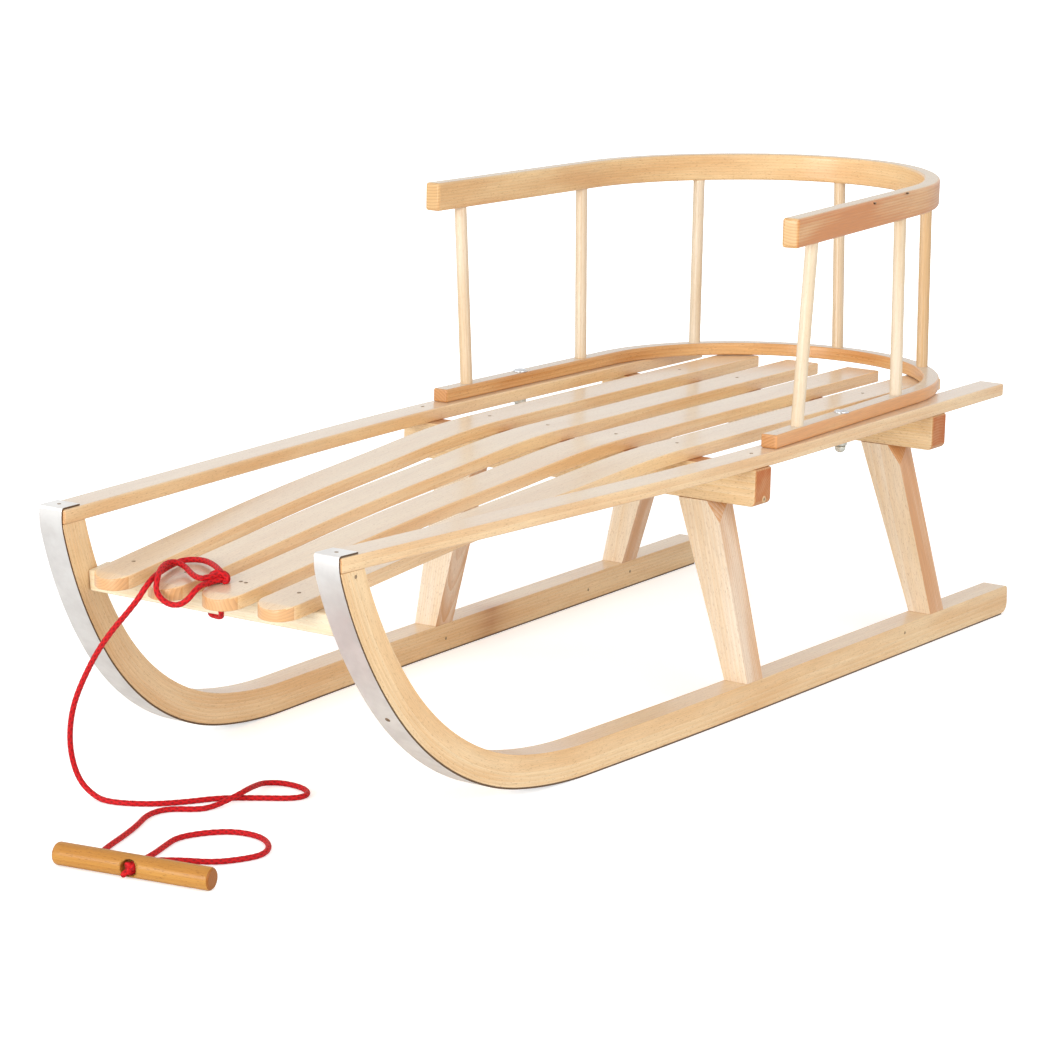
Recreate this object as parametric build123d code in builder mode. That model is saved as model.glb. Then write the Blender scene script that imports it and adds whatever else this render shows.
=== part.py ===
from build123d import *
import os
from math import acos, atan2, cos, degrees, radians, sin, tan

os.makedirs("parts", exist_ok=True)

# A child's wooden sled with a railed backrest. All sizes are in millimetres.
# X runs forward to the horns, Y to the rider's left, Z up from the snow.

# Overall sizes
rear_x = -497
horn_front_x = 521
seat_height = 225
seat_half_width = 180
backrest_height = 420

# Runners: steamed beech, bent up at the front, with a steel strip below
runner_width = 23.4
runner_height = 27
strip_thickness = 1.6
strip_inset = 0.5
strip_tab = 22
tail_corner = 10
runner_outer_rear = 183.0
runner_outer_middle = 171.3
runner_outer_front = 148.2
runner_middle_x = 68
inward_lean = 0.033
bend_radius = [494, 257, 345]
bend_angle = [10.66, 41.1]

# Side rails
rail_width = 25.6
rail_rear_x = -477
rail_outer_rear = 177.2
rail_outer_middle = 179.7
rail_outer_front = 141.8
rail_middle_x = 30

# Bolsters and legs
bolster_depth = 26.4
bolster_height = 31.5
front_bolster_x = -17.4
rear_bolster_x = -342.8
bolsters = [("front", front_bolster_x, 179.5), ("rear", rear_bolster_x, 178.0)]
leg_depth = 26.4
leg_rake = 12
leg_cut = (22, 9, 18)
leg_top_outer = 141.9
leg_top_inner = 105.3

# Seat slats and the bar that carries their front ends
slat_width = 35
slat_thickness = 11
slat_clearance = 0.5
slat_rear_x = -466
slat_corner = 12
slats = [(-99, -96.1, -77), (-33, -32, -25.7), (33, 32, 25.7), (99, 96.1, 77)]
slat_curve = [(129, 217.3), (273, 206.4)]
slat_bend_x = 16
slat_straight_x = 456
slat_front_x = 520
slat_drop_slope = -0.109
crossbar_height = 17
crossbar_depth = 24
crossbar_front_x = 488

# Backrest
bow_front_x = -44
bow_width = 15
low_bow_height = 12
low_bow_back = (-501.8, -4.5)
low_bow_back_radius = 159.8
low_bow_back_angle = 46
low_bow_corner_radius = 193.3
low_bow_tapers = (2.2, 0.5)
top_bow_height = 25
top_bow_back = (-521, -14.8)
top_bow_back_radius = 135.1
top_bow_back_angle = 41.5
top_bow_corner_radius = 246.7
top_bow_tapers = (6.4, 0.2)
spindle_diameter = 11
spindle_feet = [0.038, 0.212, 0.36, 0.494, 0.612, 0.771, 0.952]
spindle_heads = [0.04, 0.22, 0.361, 0.489, 0.624, 0.772, 0.957]
tenon_diameter = 8
tenon_length = 7
bolt_left = (-178, 164.5)
bolt_right = (-170, -166.5)
bolt_diameter = 6
bolt_hole = 6.6
bolt_head_radius = 6.8
bolt_head_height = 2.8
bolt_length_below = 7.5
cap_nut_width = 10
cap_nut_hex = 5.6
cap_nut_height = 12

# Tow cord and its handle
cord_diameter = 4.5
knot_size = (30, 12, 8)
cord_route = [
    (473.5, -8, 190),
    (463.5, -29.3, 190),
    (469.8, -42.2, 189.2),
    (485.8, -41.5, 187.8),
    (503, -37, 186.6),
    (518.6, -30.5, 186.8),
    (529.5, -30, 180.3),
    (533.5, -34.5, 169.9),
    (530, -71.5, 132),
    (523.6, -99, 92.3),
    (520.7, -110.4, 66.4),
    (512.4, -118.7, 37.4),
    (508.7, -113.3, 13.4),
    (507.5, -97.3, 2.4),
    (510.6, -79, 2.4),
    (497, -53, 2.4),
    (475.5, -35.6, 2.4),
    (450.2, -21.3, 2.4),
    (431.5, 3.5, 2.4),
    (417, 24.3, 2.4),
    (402.7, 26.9, 2.4),
    (390.8, 14, 2.4),
    (389, -8, 2.4),
    (400, -19, 3),
    (416, -14, 5.6),
    (432.6, -8.3, 7.9),
    (446, -5.6, 7.7),
    (459.1, -8.7, 4.6),
    (471, -11.5, 2.4),
    (484.2, -14.9, 2.4),
    (497.1, -35.2, 2.4),
    (517.1, -37.9, 2.4),
    (544.2, -25.5, 2.4),
    (569.8, -16.9, 2.4),
    (597.1, -8.9, 2.4),
    (615.8, -1.5, 2.4),
    (620.3, 17.7, 2.4),
    (606.6, 31.1, 2.4),
    (588, 27.8, 2.4),
    (569.3, 22, 2.4),
    (548.1, 16.1, 2.4),
    (526.3, 25.1, 2.4),
    (510.1, 41, 2.4),
    (509.1, 64.6, 2.4),
    (523.5, 83.3, 2.4),
    (542.1, 91.7, 2.4),
    (559.8, 86.3, 2.4),
    (579.4, 74.6, 2.7),
    (596.1, 57.9, 5.4),
]
loop_route = [
    (500, -9.5, 187.8),
    (487.5, -26, 189.2),
    (488.2, -34.4, 192),
    (497.5, -36, 192.6),
    (511.3, -30.5, 191.2),
    (522.5, -24.2, 187),
    (526.5, -23.5, 175),
    (527, -14.7, 168.1),
    (527, -4.2, 168.1),
    (527, 8, 175),
]
handle_length = 128
handle_diameter = 17
handle_hole = 7
handle_centre = (633.5, 46.8)
handle_turn = 9.3

# The low bow rests on the rails and clears the slats between them
rail_thickness = slat_thickness + slat_clearance
rail_bottom = seat_height - rail_thickness
bolster_bottom = rail_bottom - bolster_height


def bend_height(heading):
    # Height of the sole line once it has turned up to a heading
    z = 0
    turned = 0
    for radius, angle in zip(bend_radius, bend_angle):
        z += radius * (cos(radians(turned)) - cos(radians(turned + angle)))
        turned += angle
    return z + bend_radius[2] * (cos(radians(turned)) - cos(radians(heading)))


# Heading of the runner where its top meets the side rail
first_headings = sum(bend_angle)
horn_heading = degrees(
    acos(cos(radians(first_headings)) - (rail_bottom - bend_height(first_headings)) / bend_radius[2])
)


def sole_reach():
    # Length along X that the three bends take up
    headings = [0, bend_angle[0], first_headings, horn_heading]
    reach = 0
    for radius, start, end in zip(bend_radius, headings, headings[1:]):
        reach += radius * (sin(radians(end)) - sin(radians(start)))
    return reach


def side_band(start_x, cut_low, cut_high):
    # Side view of one layer of the runner, between two depths from its sole
    bend_start = horn_front_x - sole_reach()
    with BuildSketch(Plane.XZ.offset(-100)) as band:
        with BuildLine():
            edges = []
            for cut in (cut_low, cut_high):
                run = Line((start_x, cut), (bend_start, cut))
                first = JernArc(run @ 1, run % 1, bend_radius[0] - cut, bend_angle[0])
                second = JernArc(first @ 1, first % 1, bend_radius[1] - cut, bend_angle[1])
                third = JernArc(second @ 1, second % 1, bend_radius[2] - cut, 25)
                edges.append((run @ 0, third @ 1))
            Line(edges[0][0], edges[1][0])
            Line(edges[0][1], edges[1][1])
        make_face()
    return band.sketch


def bent_strip(points, width, bend, height=0, inset=0):
    # Plan of a strip of wood with one gentle bend, given by its outer edge
    outer_points = [(x, y - inset) for x, y in points]
    inner_points = [(x, y - width + inset) for x, y in points]
    with BuildSketch(Plane.XY.offset(height)) as plan:
        with BuildLine():
            outer = FilletPolyline(*outer_points, radius=bend)
            inner = FilletPolyline(*inner_points, radius=bend)
            Line(outer @ 0, inner @ 0)
            Line(outer @ 1, inner @ 1)
        make_face()
    return plan.sketch


runner_line = [
    (rear_x - 10, runner_outer_rear + 0.2),
    (runner_middle_x, runner_outer_middle),
    (horn_front_x + 20, runner_outer_front - 1),
]
runner_lean = (0, -inward_lean, 1)

# Left runner, leaning in towards the seat
with BuildPart() as runner_left:
    extrude(side_band(rear_x, strip_thickness, runner_height), amount=-110)
    runner_plan = bent_strip(runner_line, runner_width, 8000)
    extrude(runner_plan, amount=260, dir=runner_lean, mode=Mode.INTERSECT)
    split(bisect_by=Plane.XY.offset(rail_bottom), keep=Keep.BOTTOM)
    tail = runner_left.faces().sort_by(Axis.X)[0].edges().sort_by(Axis.Z)
    fillet(tail[0], tail_corner)
    fillet(tail[-1], 4)
runner_left.part.label = "runner_left"
export_step(runner_left.part, "parts/runner_left.step")

with BuildPart() as runner_right:
    mirror(runner_left.part, about=Plane.XZ)
runner_right.part.label = "runner_right"
export_step(runner_right.part, "parts/runner_right.step")

# Steel strip under the runner, turned back over the end of the side rail
with BuildPart() as runner_strip_left:
    extrude(side_band(rear_x + tail_corner, 0, strip_thickness), amount=-110)
    split(bisect_by=Plane.XY.offset(rail_bottom), keep=Keep.BOTTOM)
    with BuildSketch(Plane.XZ.offset(-100)):
        with BuildLine():
            back = horn_front_x - strip_thickness
            top = seat_height + strip_thickness
            Polyline(
                (horn_front_x, rail_bottom),
                (horn_front_x, top),
                (horn_front_x - strip_tab, top),
                (horn_front_x - strip_tab, seat_height),
                (back, seat_height),
                (back, rail_bottom),
                close=True,
            )
        make_face()
    extrude(amount=-110)
    strip_plan = bent_strip(runner_line, runner_width, 8000, inset=strip_inset)
    extrude(strip_plan, amount=260, dir=runner_lean, mode=Mode.INTERSECT)
runner_strip_left.part.label = "runner_strip_left"
export_step(runner_strip_left.part, "parts/runner_strip_left.step")

with BuildPart() as runner_strip_right:
    mirror(runner_strip_left.part, about=Plane.XZ)
runner_strip_right.part.label = "runner_strip_right"
export_step(runner_strip_right.part, "parts/runner_strip_right.step")

rail_line = [
    (rail_rear_x, rail_outer_rear),
    (rail_middle_x, rail_outer_middle),
    (horn_front_x - strip_thickness, rail_outer_front),
]

# Side rail, from the top of the horn back past the rear bolster
with BuildPart(mode=Mode.PRIVATE) as plain_rail:
    extrude(bent_strip(rail_line, rail_width, 3500, rail_bottom), amount=rail_thickness)
    rail_tail = plain_rail.faces().sort_by(Axis.X)[0].edges().filter_by(Axis.Z)
    fillet(rail_tail, 3)

with BuildPart() as side_rail_left:
    add(plain_rail.part)
    with Locations((*bolt_left, seat_height)):
        Hole(bolt_hole / 2, depth=rail_thickness)
side_rail_left.part.label = "side_rail_left"
export_step(side_rail_left.part, "parts/side_rail_left.step")

with BuildPart() as side_rail_right:
    mirror(plain_rail.part, about=Plane.XZ)
    with Locations((*bolt_right, seat_height)):
        Hole(bolt_hole / 2, depth=rail_thickness)
side_rail_right.part.label = "side_rail_right"
export_step(side_rail_right.part, "parts/side_rail_right.step")

# Bolsters: bars across the sled that carry the rails and the slats
for place, centre_x, half_width in bolsters:
    with BuildPart() as bolster:
        with Locations((centre_x, 0, bolster_bottom)):
            Box(bolster_depth, 2 * half_width, bolster_height, align=(Align.CENTER, Align.CENTER, Align.MIN))
        low_ends = bolster.faces().sort_by(Axis.Z)[0].edges().filter_by(Axis.X)
        fillet(low_ends, 5)
    bolster.part.label = f"bolster_{place}"
    export_step(bolster.part, f"parts/bolster_{place}.step")


def leg_section(front, inner, outer, height):
    # Level section through a leg
    with BuildSketch(Plane.XY.offset(height)) as section:
        with Locations((front - leg_depth / 2, (inner + outer) / 2)):
            Rectangle(leg_depth, outer - inner)
    return section.sketch


# Legs between the runners and the bolsters, wider at the top
for place, centre_x, half_width in bolsters:
    for side, sign in (("left", 1), ("right", -1)):
        top_front = centre_x + leg_depth / 2
        foot_front = top_front - leg_rake
        middle = foot_front - leg_depth / 2
        slope = (runner_outer_middle - runner_outer_rear) / (runner_middle_x - rear_x)
        foot_outer = runner_outer_rear + slope * (middle - rear_x) - inward_lean * runner_height - 0.3
        foot_inner = foot_outer - runner_width + 0.6
        with BuildPart() as leg:
            top = leg_section(top_front, sign * leg_top_inner, sign * leg_top_outer, bolster_bottom)
            foot = leg_section(foot_front, sign * foot_inner, sign * foot_outer, runner_height)
            loft([foot, top])
            drop = leg_cut[2] / (bolster_bottom - runner_height)
            edge_x = top_front - leg_rake * drop
            edge_y = leg_top_outer + (foot_outer - leg_top_outer) * drop
            behind = Vector(top_front - leg_cut[0], sign * leg_top_outer, bolster_bottom)
            inside = Vector(top_front, sign * (leg_top_outer - leg_cut[1]), bolster_bottom)
            below = Vector(edge_x, sign * edge_y, bolster_bottom - leg_cut[2])
            outward = (behind - below).cross(inside - below) * sign
            split(bisect_by=Plane(origin=below, z_dir=outward), keep=Keep.BOTTOM)
        leg.part.label = f"leg_{place}_{side}"
        export_step(leg.part, f"parts/leg_{place}_{side}.step")

# Slats: flat over the bolsters, then sprung down to the crossbar
slat_seat_x = front_bolster_x + bolster_depth / 2
slat_line_x = 486
slat_line_z = 184.4


def slat_height(x):
    # Height of a slat's top on its straight front end
    return slat_line_z + slat_drop_slope * (x - slat_line_x)


for number, (rear_y, middle_y, front_y) in enumerate(slats, 1):
    with BuildPart() as slat:
        with BuildSketch(Plane.XZ) as side_view:
            with BuildLine():
                ends = []
                for drop in (0, slat_thickness):
                    level = rail_bottom + slat_thickness - drop
                    flat = Line((slat_rear_x, level), (slat_seat_x, level))
                    points = [(slat_seat_x, level)]
                    points += [(x, z - drop) for x, z in slat_curve]
                    points.append((slat_straight_x, slat_height(slat_straight_x) - drop))
                    curve = Spline(*points, tangents=[(1, 0), (1, slat_drop_slope)])
                    nose = Line(curve @ 1, (slat_front_x, slat_height(slat_front_x) - drop))
                    ends.append((flat @ 0, nose @ 1))
                Line(ends[0][0], ends[1][0])
                Line(ends[0][1], ends[1][1])
            make_face()
        extrude(amount=130, both=True)
        middle = [(slat_rear_x, rear_y), (slat_bend_x, middle_y), (slat_front_x, front_y)]
        edge = [(x, y + slat_width / 2) for x, y in middle]
        with BuildSketch(Plane.XY.offset(150)):
            add(bent_strip(edge, slat_width, 6000))
        extrude(amount=100, mode=Mode.INTERSECT)
        corners = slat.faces().sort_by(Axis.X)[-1].edges().sort_by(Axis.Y)
        fillet([corners[0], corners[-1]], slat_corner)
    slat.part.label = f"slat_{number}"
    export_step(slat.part, f"parts/slat_{number}.step")

# Crossbar between the horns, tilted to lie flat under the slats
tilt = atan2(-slat_drop_slope, 1)
slat_under_z = slat_height(crossbar_front_x) - slat_thickness
horn_slope = (runner_outer_middle - runner_line[2][1]) / (runner_line[2][0] - runner_middle_x)


def horn_inner_face(sign):
    # Inner face of one horn, facing away from the middle of the sled
    middle = (runner_middle_x, sign * (runner_outer_middle - runner_width), 0)
    return Plane(origin=middle, z_dir=(horn_slope, sign, inward_lean))


bar_end = Plane(origin=(crossbar_front_x, 0, slat_under_z), x_dir=(0, 1, 0), z_dir=(cos(tilt), 0, -sin(tilt)))
with BuildPart() as front_crossbar:
    with BuildSketch(bar_end):
        Rectangle(300, crossbar_height, align=(Align.CENTER, Align.MAX))
    extrude(amount=-crossbar_depth)
    fillet(front_crossbar.edges().filter_by(Axis.Y), 1.5)
    split(bisect_by=horn_inner_face(1), keep=Keep.BOTTOM)
    split(bisect_by=horn_inner_face(-1), keep=Keep.BOTTOM)
front_crossbar.part.label = "front_crossbar"
export_step(front_crossbar.part, "parts/front_crossbar.step")


def bow_half(shape, side, cut):
    # Edge of half a bow from the middle of its back, cut in by a depth
    middle, back_radius, back_angle, corner_radius, tapers = shape
    turn = 90 - back_angle - tapers[0 if side > 0 else 1]
    back = JernArc((middle[0] + cut, middle[1]), (0, side), back_radius - cut, -side * back_angle)
    corner = JernArc(back @ 1, back % 1, corner_radius - cut, -side * turn)
    arm = (bow_front_x - (corner @ 1).X) / (corner % 1).X
    return [back, corner, Line(corner @ 1, corner @ 1 + (corner % 1) * arm)]


def bow_edge(shape, cut):
    # Edge of a bow seen from above, from its right front end round to its left
    left_half = bow_half(shape, 1, cut)
    return Wire(left_half[::-1] + bow_half(shape, -1, cut))


def bow_plan(shape, height):
    # Plan of a bow between its outer and inner edges
    outer = bow_edge(shape, 0)
    inner = bow_edge(shape, bow_width)
    with BuildSketch(Plane.XY.offset(height)) as plan:
        with BuildLine():
            add(outer)
            add(inner)
            Line(outer @ 0, inner @ 0)
            Line(outer @ 1, inner @ 1)
        make_face()
    return plan.sketch


low_shape = (
    low_bow_back,
    low_bow_back_radius,
    low_bow_back_angle,
    low_bow_corner_radius,
    low_bow_tapers,
)
top_shape = (
    top_bow_back,
    top_bow_back_radius,
    top_bow_back_angle,
    top_bow_corner_radius,
    top_bow_tapers,
)
low_middle = bow_edge(low_shape, bow_width / 2)
top_middle = bow_edge(top_shape, bow_width / 2)
spindles = list(zip(spindle_feet, spindle_heads))
low_bow_top = seat_height + low_bow_height
top_bow_bottom = backrest_height - top_bow_height


def along_bow(middle, place, height):
    # Point part of the way round a bow, as a share of its length
    return middle.position_at(place * middle.length, PositionMode.LENGTH) + Vector(0, 0, height)


def spindle_rod(places, diameter, spare):
    # Round rod along a spindle's middle line, running past both ends
    foot = along_bow(low_middle, places[0], low_bow_top)
    head = along_bow(top_middle, places[1], top_bow_bottom)
    along = (head - foot).normalized()
    with BuildPart(Plane(origin=foot - along * spare, z_dir=along)) as rod:
        length = (head - foot).length + 2 * spare
        Cylinder(diameter / 2, length, align=(Align.CENTER, Align.CENTER, Align.MIN))
    return rod.part


# Bottom bow, lying on the rails, with holes for the spindles and two bolts
with BuildPart() as backrest_bottom_bow:
    extrude(bow_plan(low_shape, seat_height), amount=low_bow_height)
    for places in spindles:
        add(spindle_rod(places, tenon_diameter, tenon_length), mode=Mode.SUBTRACT)
    with Locations((*bolt_left, low_bow_top), (*bolt_right, low_bow_top)):
        Hole(bolt_hole / 2, depth=low_bow_height)
backrest_bottom_bow.part.label = "backrest_bottom_bow"
export_step(backrest_bottom_bow.part, "parts/backrest_bottom_bow.step")

# Top bow, a deeper bent strip
with BuildPart() as backrest_top_bow:
    extrude(bow_plan(top_shape, top_bow_bottom), amount=top_bow_height)
    for places in spindles:
        add(spindle_rod(places, tenon_diameter, tenon_length), mode=Mode.SUBTRACT)
backrest_top_bow.part.label = "backrest_top_bow"
export_step(backrest_top_bow.part, "parts/backrest_top_bow.step")

# Spindles, shouldered at both bows and let into them
for number, places in enumerate(spindles, 1):
    with BuildPart() as spindle:
        add(spindle_rod(places, spindle_diameter, 5))
        split(bisect_by=Plane.XY.offset(low_bow_top), keep=Keep.TOP)
        split(bisect_by=Plane.XY.offset(top_bow_bottom), keep=Keep.BOTTOM)
        add(spindle_rod(places, tenon_diameter, tenon_length))
    spindle.part.label = f"spindle_{number}"
    export_step(spindle.part, f"parts/spindle_{number}.step")

# Carriage bolts through the bottom bow and the rails, with cap nuts below
for side, place in (("left", bolt_left), ("right", bolt_right)):
    with BuildPart() as backrest_bolt:
        with Locations((*place, low_bow_top)):
            Cylinder(bolt_head_radius, bolt_head_height, align=(Align.CENTER, Align.CENTER, Align.MIN))
            fillet(backrest_bolt.edges().sort_by(Axis.Z)[-1], bolt_head_height - 0.6)
            shank = rail_thickness + low_bow_height + bolt_length_below
            Cylinder(bolt_diameter / 2, shank, align=(Align.CENTER, Align.CENTER, Align.MAX))
    backrest_bolt.part.label = f"backrest_bolt_{side}"
    export_step(backrest_bolt.part, f"parts/backrest_bolt_{side}.step")

    nut_plane = Plane(origin=(*place, rail_bottom), z_dir=(0, 0, -1))
    with BuildPart(nut_plane) as cap_nut:
        with BuildSketch(nut_plane):
            RegularPolygon(cap_nut_width / 2, 6, major_radius=False)
        extrude(amount=cap_nut_hex)
        dome_radius = 0.47 * cap_nut_width
        Cylinder(dome_radius, cap_nut_height, align=(Align.CENTER, Align.CENTER, Align.MIN))
        dome_edge = cap_nut.faces().sort_by(Axis.Z)[0].edges()
        fillet(dome_edge, dome_radius - 0.8)
        shank_seat = bolt_length_below + 0.3
        Cylinder(
            bolt_diameter / 2,
            shank_seat,
            align=(Align.CENTER, Align.CENTER, Align.MIN),
            mode=Mode.SUBTRACT,
        )
    cap_nut.part.label = f"cap_nut_{side}"
    export_step(cap_nut.part, f"parts/cap_nut_{side}.step")

# Tow handle: a turned dowel lying on the ground, with a hole for the cord
handle_plane = Plane(origin=(*handle_centre, handle_diameter / 2)).rotated((0, 0, handle_turn))
with BuildPart(handle_plane) as tow_handle:
    Cylinder(handle_diameter / 2, handle_length, rotation=(90, 0, 0))
    ends = tow_handle.edges().filter_by(GeomType.CIRCLE)
    chamfer(ends, 1.5)
    Cylinder(handle_hole / 2, 40, rotation=(0, 90, 0), mode=Mode.SUBTRACT)
tow_handle.part.label = "tow_handle"
export_step(tow_handle.part, "parts/tow_handle.step")

# Knot on the far side of the handle
with BuildPart(handle_plane) as handle_knot:
    with Locations((handle_diameter / 2, 0, 0)):
        Cylinder(6.5, 10, rotation=(0, 90, 0), align=(Align.CENTER, Align.CENTER, Align.MIN))
    fillet(handle_knot.edges(), 3)
handle_knot.part.label = "handle_knot"
export_step(handle_knot.part, "parts/handle_knot.step")

# Hitch round the crossbar, up through the gap between the middle slats
slat_top_plane = Plane(
    origin=(slat_line_x, 0, slat_line_z),
    x_dir=(cos(tilt), 0, -sin(tilt)),
    z_dir=(sin(tilt), 0, cos(tilt)),
)
bar_corner = slat_top_plane.to_local_coords(bar_end.origin)
knot_lift = 0.3
knot_front_x = 33
knot_y = 10.5
hitch_y = 4
hitch_top = knot_lift - cord_diameter / 2
hitch_bottom = bar_corner.Z - crossbar_height - cord_diameter / 2 - 0.3
hitch_front = bar_corner.X + cord_diameter / 2 + 0.3
hitch_back = bar_corner.X - crossbar_depth - cord_diameter / 2 - 0.3
hitch_start = 12


def cord_tube(points, radii):
    # Eight-sided cord along straight runs with rounded turns
    path = FilletPolyline(*points, radius=radii)
    section = Plane(origin=path @ 0, z_dir=path % 0) * RegularPolygon(cord_diameter / 2, 8)
    tube = sweep(section, path)
    print("cord", round(path.length, 1), round(tube.volume / path.length, 2), round(min(radii), 1))
    return tube


def turn_radii(points):
    # Largest even radius at each corner of a cord's route
    radii = []
    for before, here, after in zip(points, points[1:], points[2:]):
        run_in = Vector(here) - Vector(before)
        run_out = Vector(after) - Vector(here)
        half_turn = radians(run_in.get_angle(run_out)) / 2
        radii.append(0.45 * min(run_in.length, run_out.length) / tan(half_turn))
    return radii


hitch_corners = [
    (hitch_start, hitch_top),
    (hitch_start - 6, hitch_top),
    (hitch_front, hitch_top - 5),
    (hitch_front, hitch_bottom),
    (hitch_back, hitch_bottom),
    (hitch_back, hitch_top),
    (hitch_front - 5, hitch_top),
]
hitch_points = [slat_top_plane.from_local_coords((x, hitch_y, z)) for x, z in hitch_corners]
hitch_tube = cord_tube(hitch_points, [3, 3, 4, 4, 4])
with BuildPart() as tow_hitch:
    add(hitch_tube)
tow_hitch.part.label = "tow_hitch"
export_step(tow_hitch.part, "parts/tow_hitch.step")

# Knot on top of the slats, where the hitch is tied
with BuildPart(slat_top_plane) as tow_knot:
    with Locations((knot_front_x - knot_size[0] / 2, knot_y, knot_lift)):
        Box(*knot_size, align=(Align.CENTER, Align.CENTER, Align.MIN))
    fillet(tow_knot.edges(), 3)
tow_knot.part.label = "tow_knot"
export_step(tow_knot.part, "parts/tow_knot.step")

# Tow cord, from the knot over a slat to the ground and round to the handle
knot_middle_z = knot_lift + knot_size[2] / 2
knot_back = slat_top_plane.from_local_coords((knot_front_x - knot_size[0], knot_y, knot_middle_z))
knot_behind = slat_top_plane.from_local_coords((knot_front_x - knot_size[0] - 7, knot_y, knot_middle_z))
knot_front = slat_top_plane.from_local_coords((knot_front_x, knot_y, knot_middle_z))
knot_side = slat_top_plane.from_local_coords((27, knot_y - knot_size[1] / 2, knot_middle_z))
knot_beside = slat_top_plane.from_local_coords((27, knot_y - knot_size[1] / 2 - 7, knot_middle_z))
knot_clear = slat_top_plane.from_local_coords((knot_front_x + 7, knot_y, knot_middle_z))
hole_line = [
    handle_plane.from_local_coords((x, 0, 0))
    for x in (-14, handle_diameter / 2)
]
cord_points = [tuple(knot_back), tuple(knot_behind)] + cord_route + [tuple(point) for point in hole_line]
cord_solid = cord_tube(cord_points, turn_radii(cord_points))
with BuildPart() as tow_cord:
    add(cord_solid)
tow_cord.part.label = "tow_cord"
export_step(tow_cord.part, "parts/tow_cord.step")

# Loop of the same cord, over one slat and back up to the knot
loop_points = [tuple(knot_side), tuple(knot_beside)] + loop_route + [tuple(knot_clear), tuple(knot_front)]
loop_solid = cord_tube(loop_points, turn_radii(loop_points))
with BuildPart() as tow_loop:
    add(loop_solid)
tow_loop.part.label = "tow_loop"
export_step(tow_loop.part, "parts/tow_loop.step")
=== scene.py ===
from bisect import bisect_right
from math import acos, atan2, ceil, cos, degrees, pi, radians, sin

import bmesh
import bpy
from mathutils import Matrix, Vector, noise


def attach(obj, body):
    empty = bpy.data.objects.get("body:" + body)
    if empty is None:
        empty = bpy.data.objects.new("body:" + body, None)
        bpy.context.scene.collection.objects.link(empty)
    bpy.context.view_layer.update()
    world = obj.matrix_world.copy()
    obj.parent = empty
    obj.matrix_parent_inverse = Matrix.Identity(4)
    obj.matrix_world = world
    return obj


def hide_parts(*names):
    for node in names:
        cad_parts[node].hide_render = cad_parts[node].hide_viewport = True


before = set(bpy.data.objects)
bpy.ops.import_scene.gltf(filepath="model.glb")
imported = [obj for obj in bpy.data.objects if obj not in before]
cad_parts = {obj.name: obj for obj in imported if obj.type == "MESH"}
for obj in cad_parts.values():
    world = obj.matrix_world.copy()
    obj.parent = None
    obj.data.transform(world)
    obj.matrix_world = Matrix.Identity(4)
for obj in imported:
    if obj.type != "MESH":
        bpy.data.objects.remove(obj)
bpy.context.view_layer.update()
scene = bpy.context.scene
scene.view_settings.view_transform = "Standard"
mm = 0.001

# Sizes that several pieces share, in millimetres
sled = {
    "rear": -497,
    "front": 521,
    "seatHeight": 225,
    "runnerWidth": 23.4,
    "runnerHeight": 27,
    "lean": 0.033,
    "railThickness": 11.5,
    "bolsterHeight": 31.5,
    "bolsterDepth": 26.4,
    "frontBolster": (-17.4, 179.5),
    "rearBolster": (-342.8, 178.0),
    "slatThickness": 11,
    "slatWidth": 35,
    "slatLine": (486, 184.4, -0.109),  # a point of the slats' straight fronts, and their slope
}
railBottom = sled["seatHeight"] - sled["railThickness"]
bolsterBottom = railBottom - sled["bolsterHeight"]
slatTilt = atan2(-sled["slatLine"][2], 1)


def onSlatTops(x, y, z):
    # Point given along, across and above the slats' sloping front ends
    return Vector((
        sled["slatLine"][0] + x * cos(slatTilt) + z * sin(slatTilt),
        y,
        sled["slatLine"][1] - x * sin(slatTilt) + z * cos(slatTilt),
    ))


# Camera
camera = {
    "place": (2.3947, 1.5296, 0.7536),
    "aim": (-0.81638, -0.53827, -0.20928),
    "roll": 1.343,
    "lens": 116.64,
}


def setCamera():
    aim = Vector(camera["aim"]).normalized()
    level = aim.cross(Vector((0, 0, 1))).normalized()
    upright = level.cross(aim)
    turn = radians(camera["roll"])
    right = level * cos(turn) + upright * sin(turn)
    up = upright * cos(turn) - level * sin(turn)
    data = bpy.data.cameras.new("camera")
    data.lens = camera["lens"]
    data.sensor_width = 36
    data.clip_end = 50
    eye = bpy.data.objects.new("camera", data)
    eye.matrix_world = Matrix.Translation(camera["place"]) @ Matrix((right, up, -aim)).transposed().to_4x4()
    scene.collection.objects.link(eye)
    scene.camera = eye


setCamera()
print("camera set")


# Colours and nodes
def colour(code):
    # sRGB hex to a linear colour
    parts = [int(code[i:i + 2], 16) / 255 for i in (1, 3, 5)]
    return [c / 12.92 if c <= 0.04045 else ((c + 0.055) / 1.055) ** 2.4 for c in parts] + [1]


def addNode(tree, kind, inputs=(), output=0, **settings):
    # Adds a shader node and gives back one output; each input is another's output or a fixed value
    node = tree.nodes.new("ShaderNode" + kind)
    for name, value in settings.items():
        setattr(node, name, value)
    for name, value in dict(inputs).items():
        if isinstance(value, bpy.types.NodeSocket):
            tree.links.new(value, node.inputs[name])
        else:
            node.inputs[name].default_value = value
    return node.outputs[output] if node.outputs else None


def newMaterial(name):
    material = bpy.data.materials.new(name)
    material.use_nodes = True
    material.node_tree.nodes.clear()
    return material, material.node_tree


# Most of a noise texture's values lie between these
noiseSpread = {"From Min": 0.3, "From Max": 0.7}
colourMix = {"data_type": "RGBA", "output": 2}  # settings of a Mix node that mixes two colours

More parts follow.
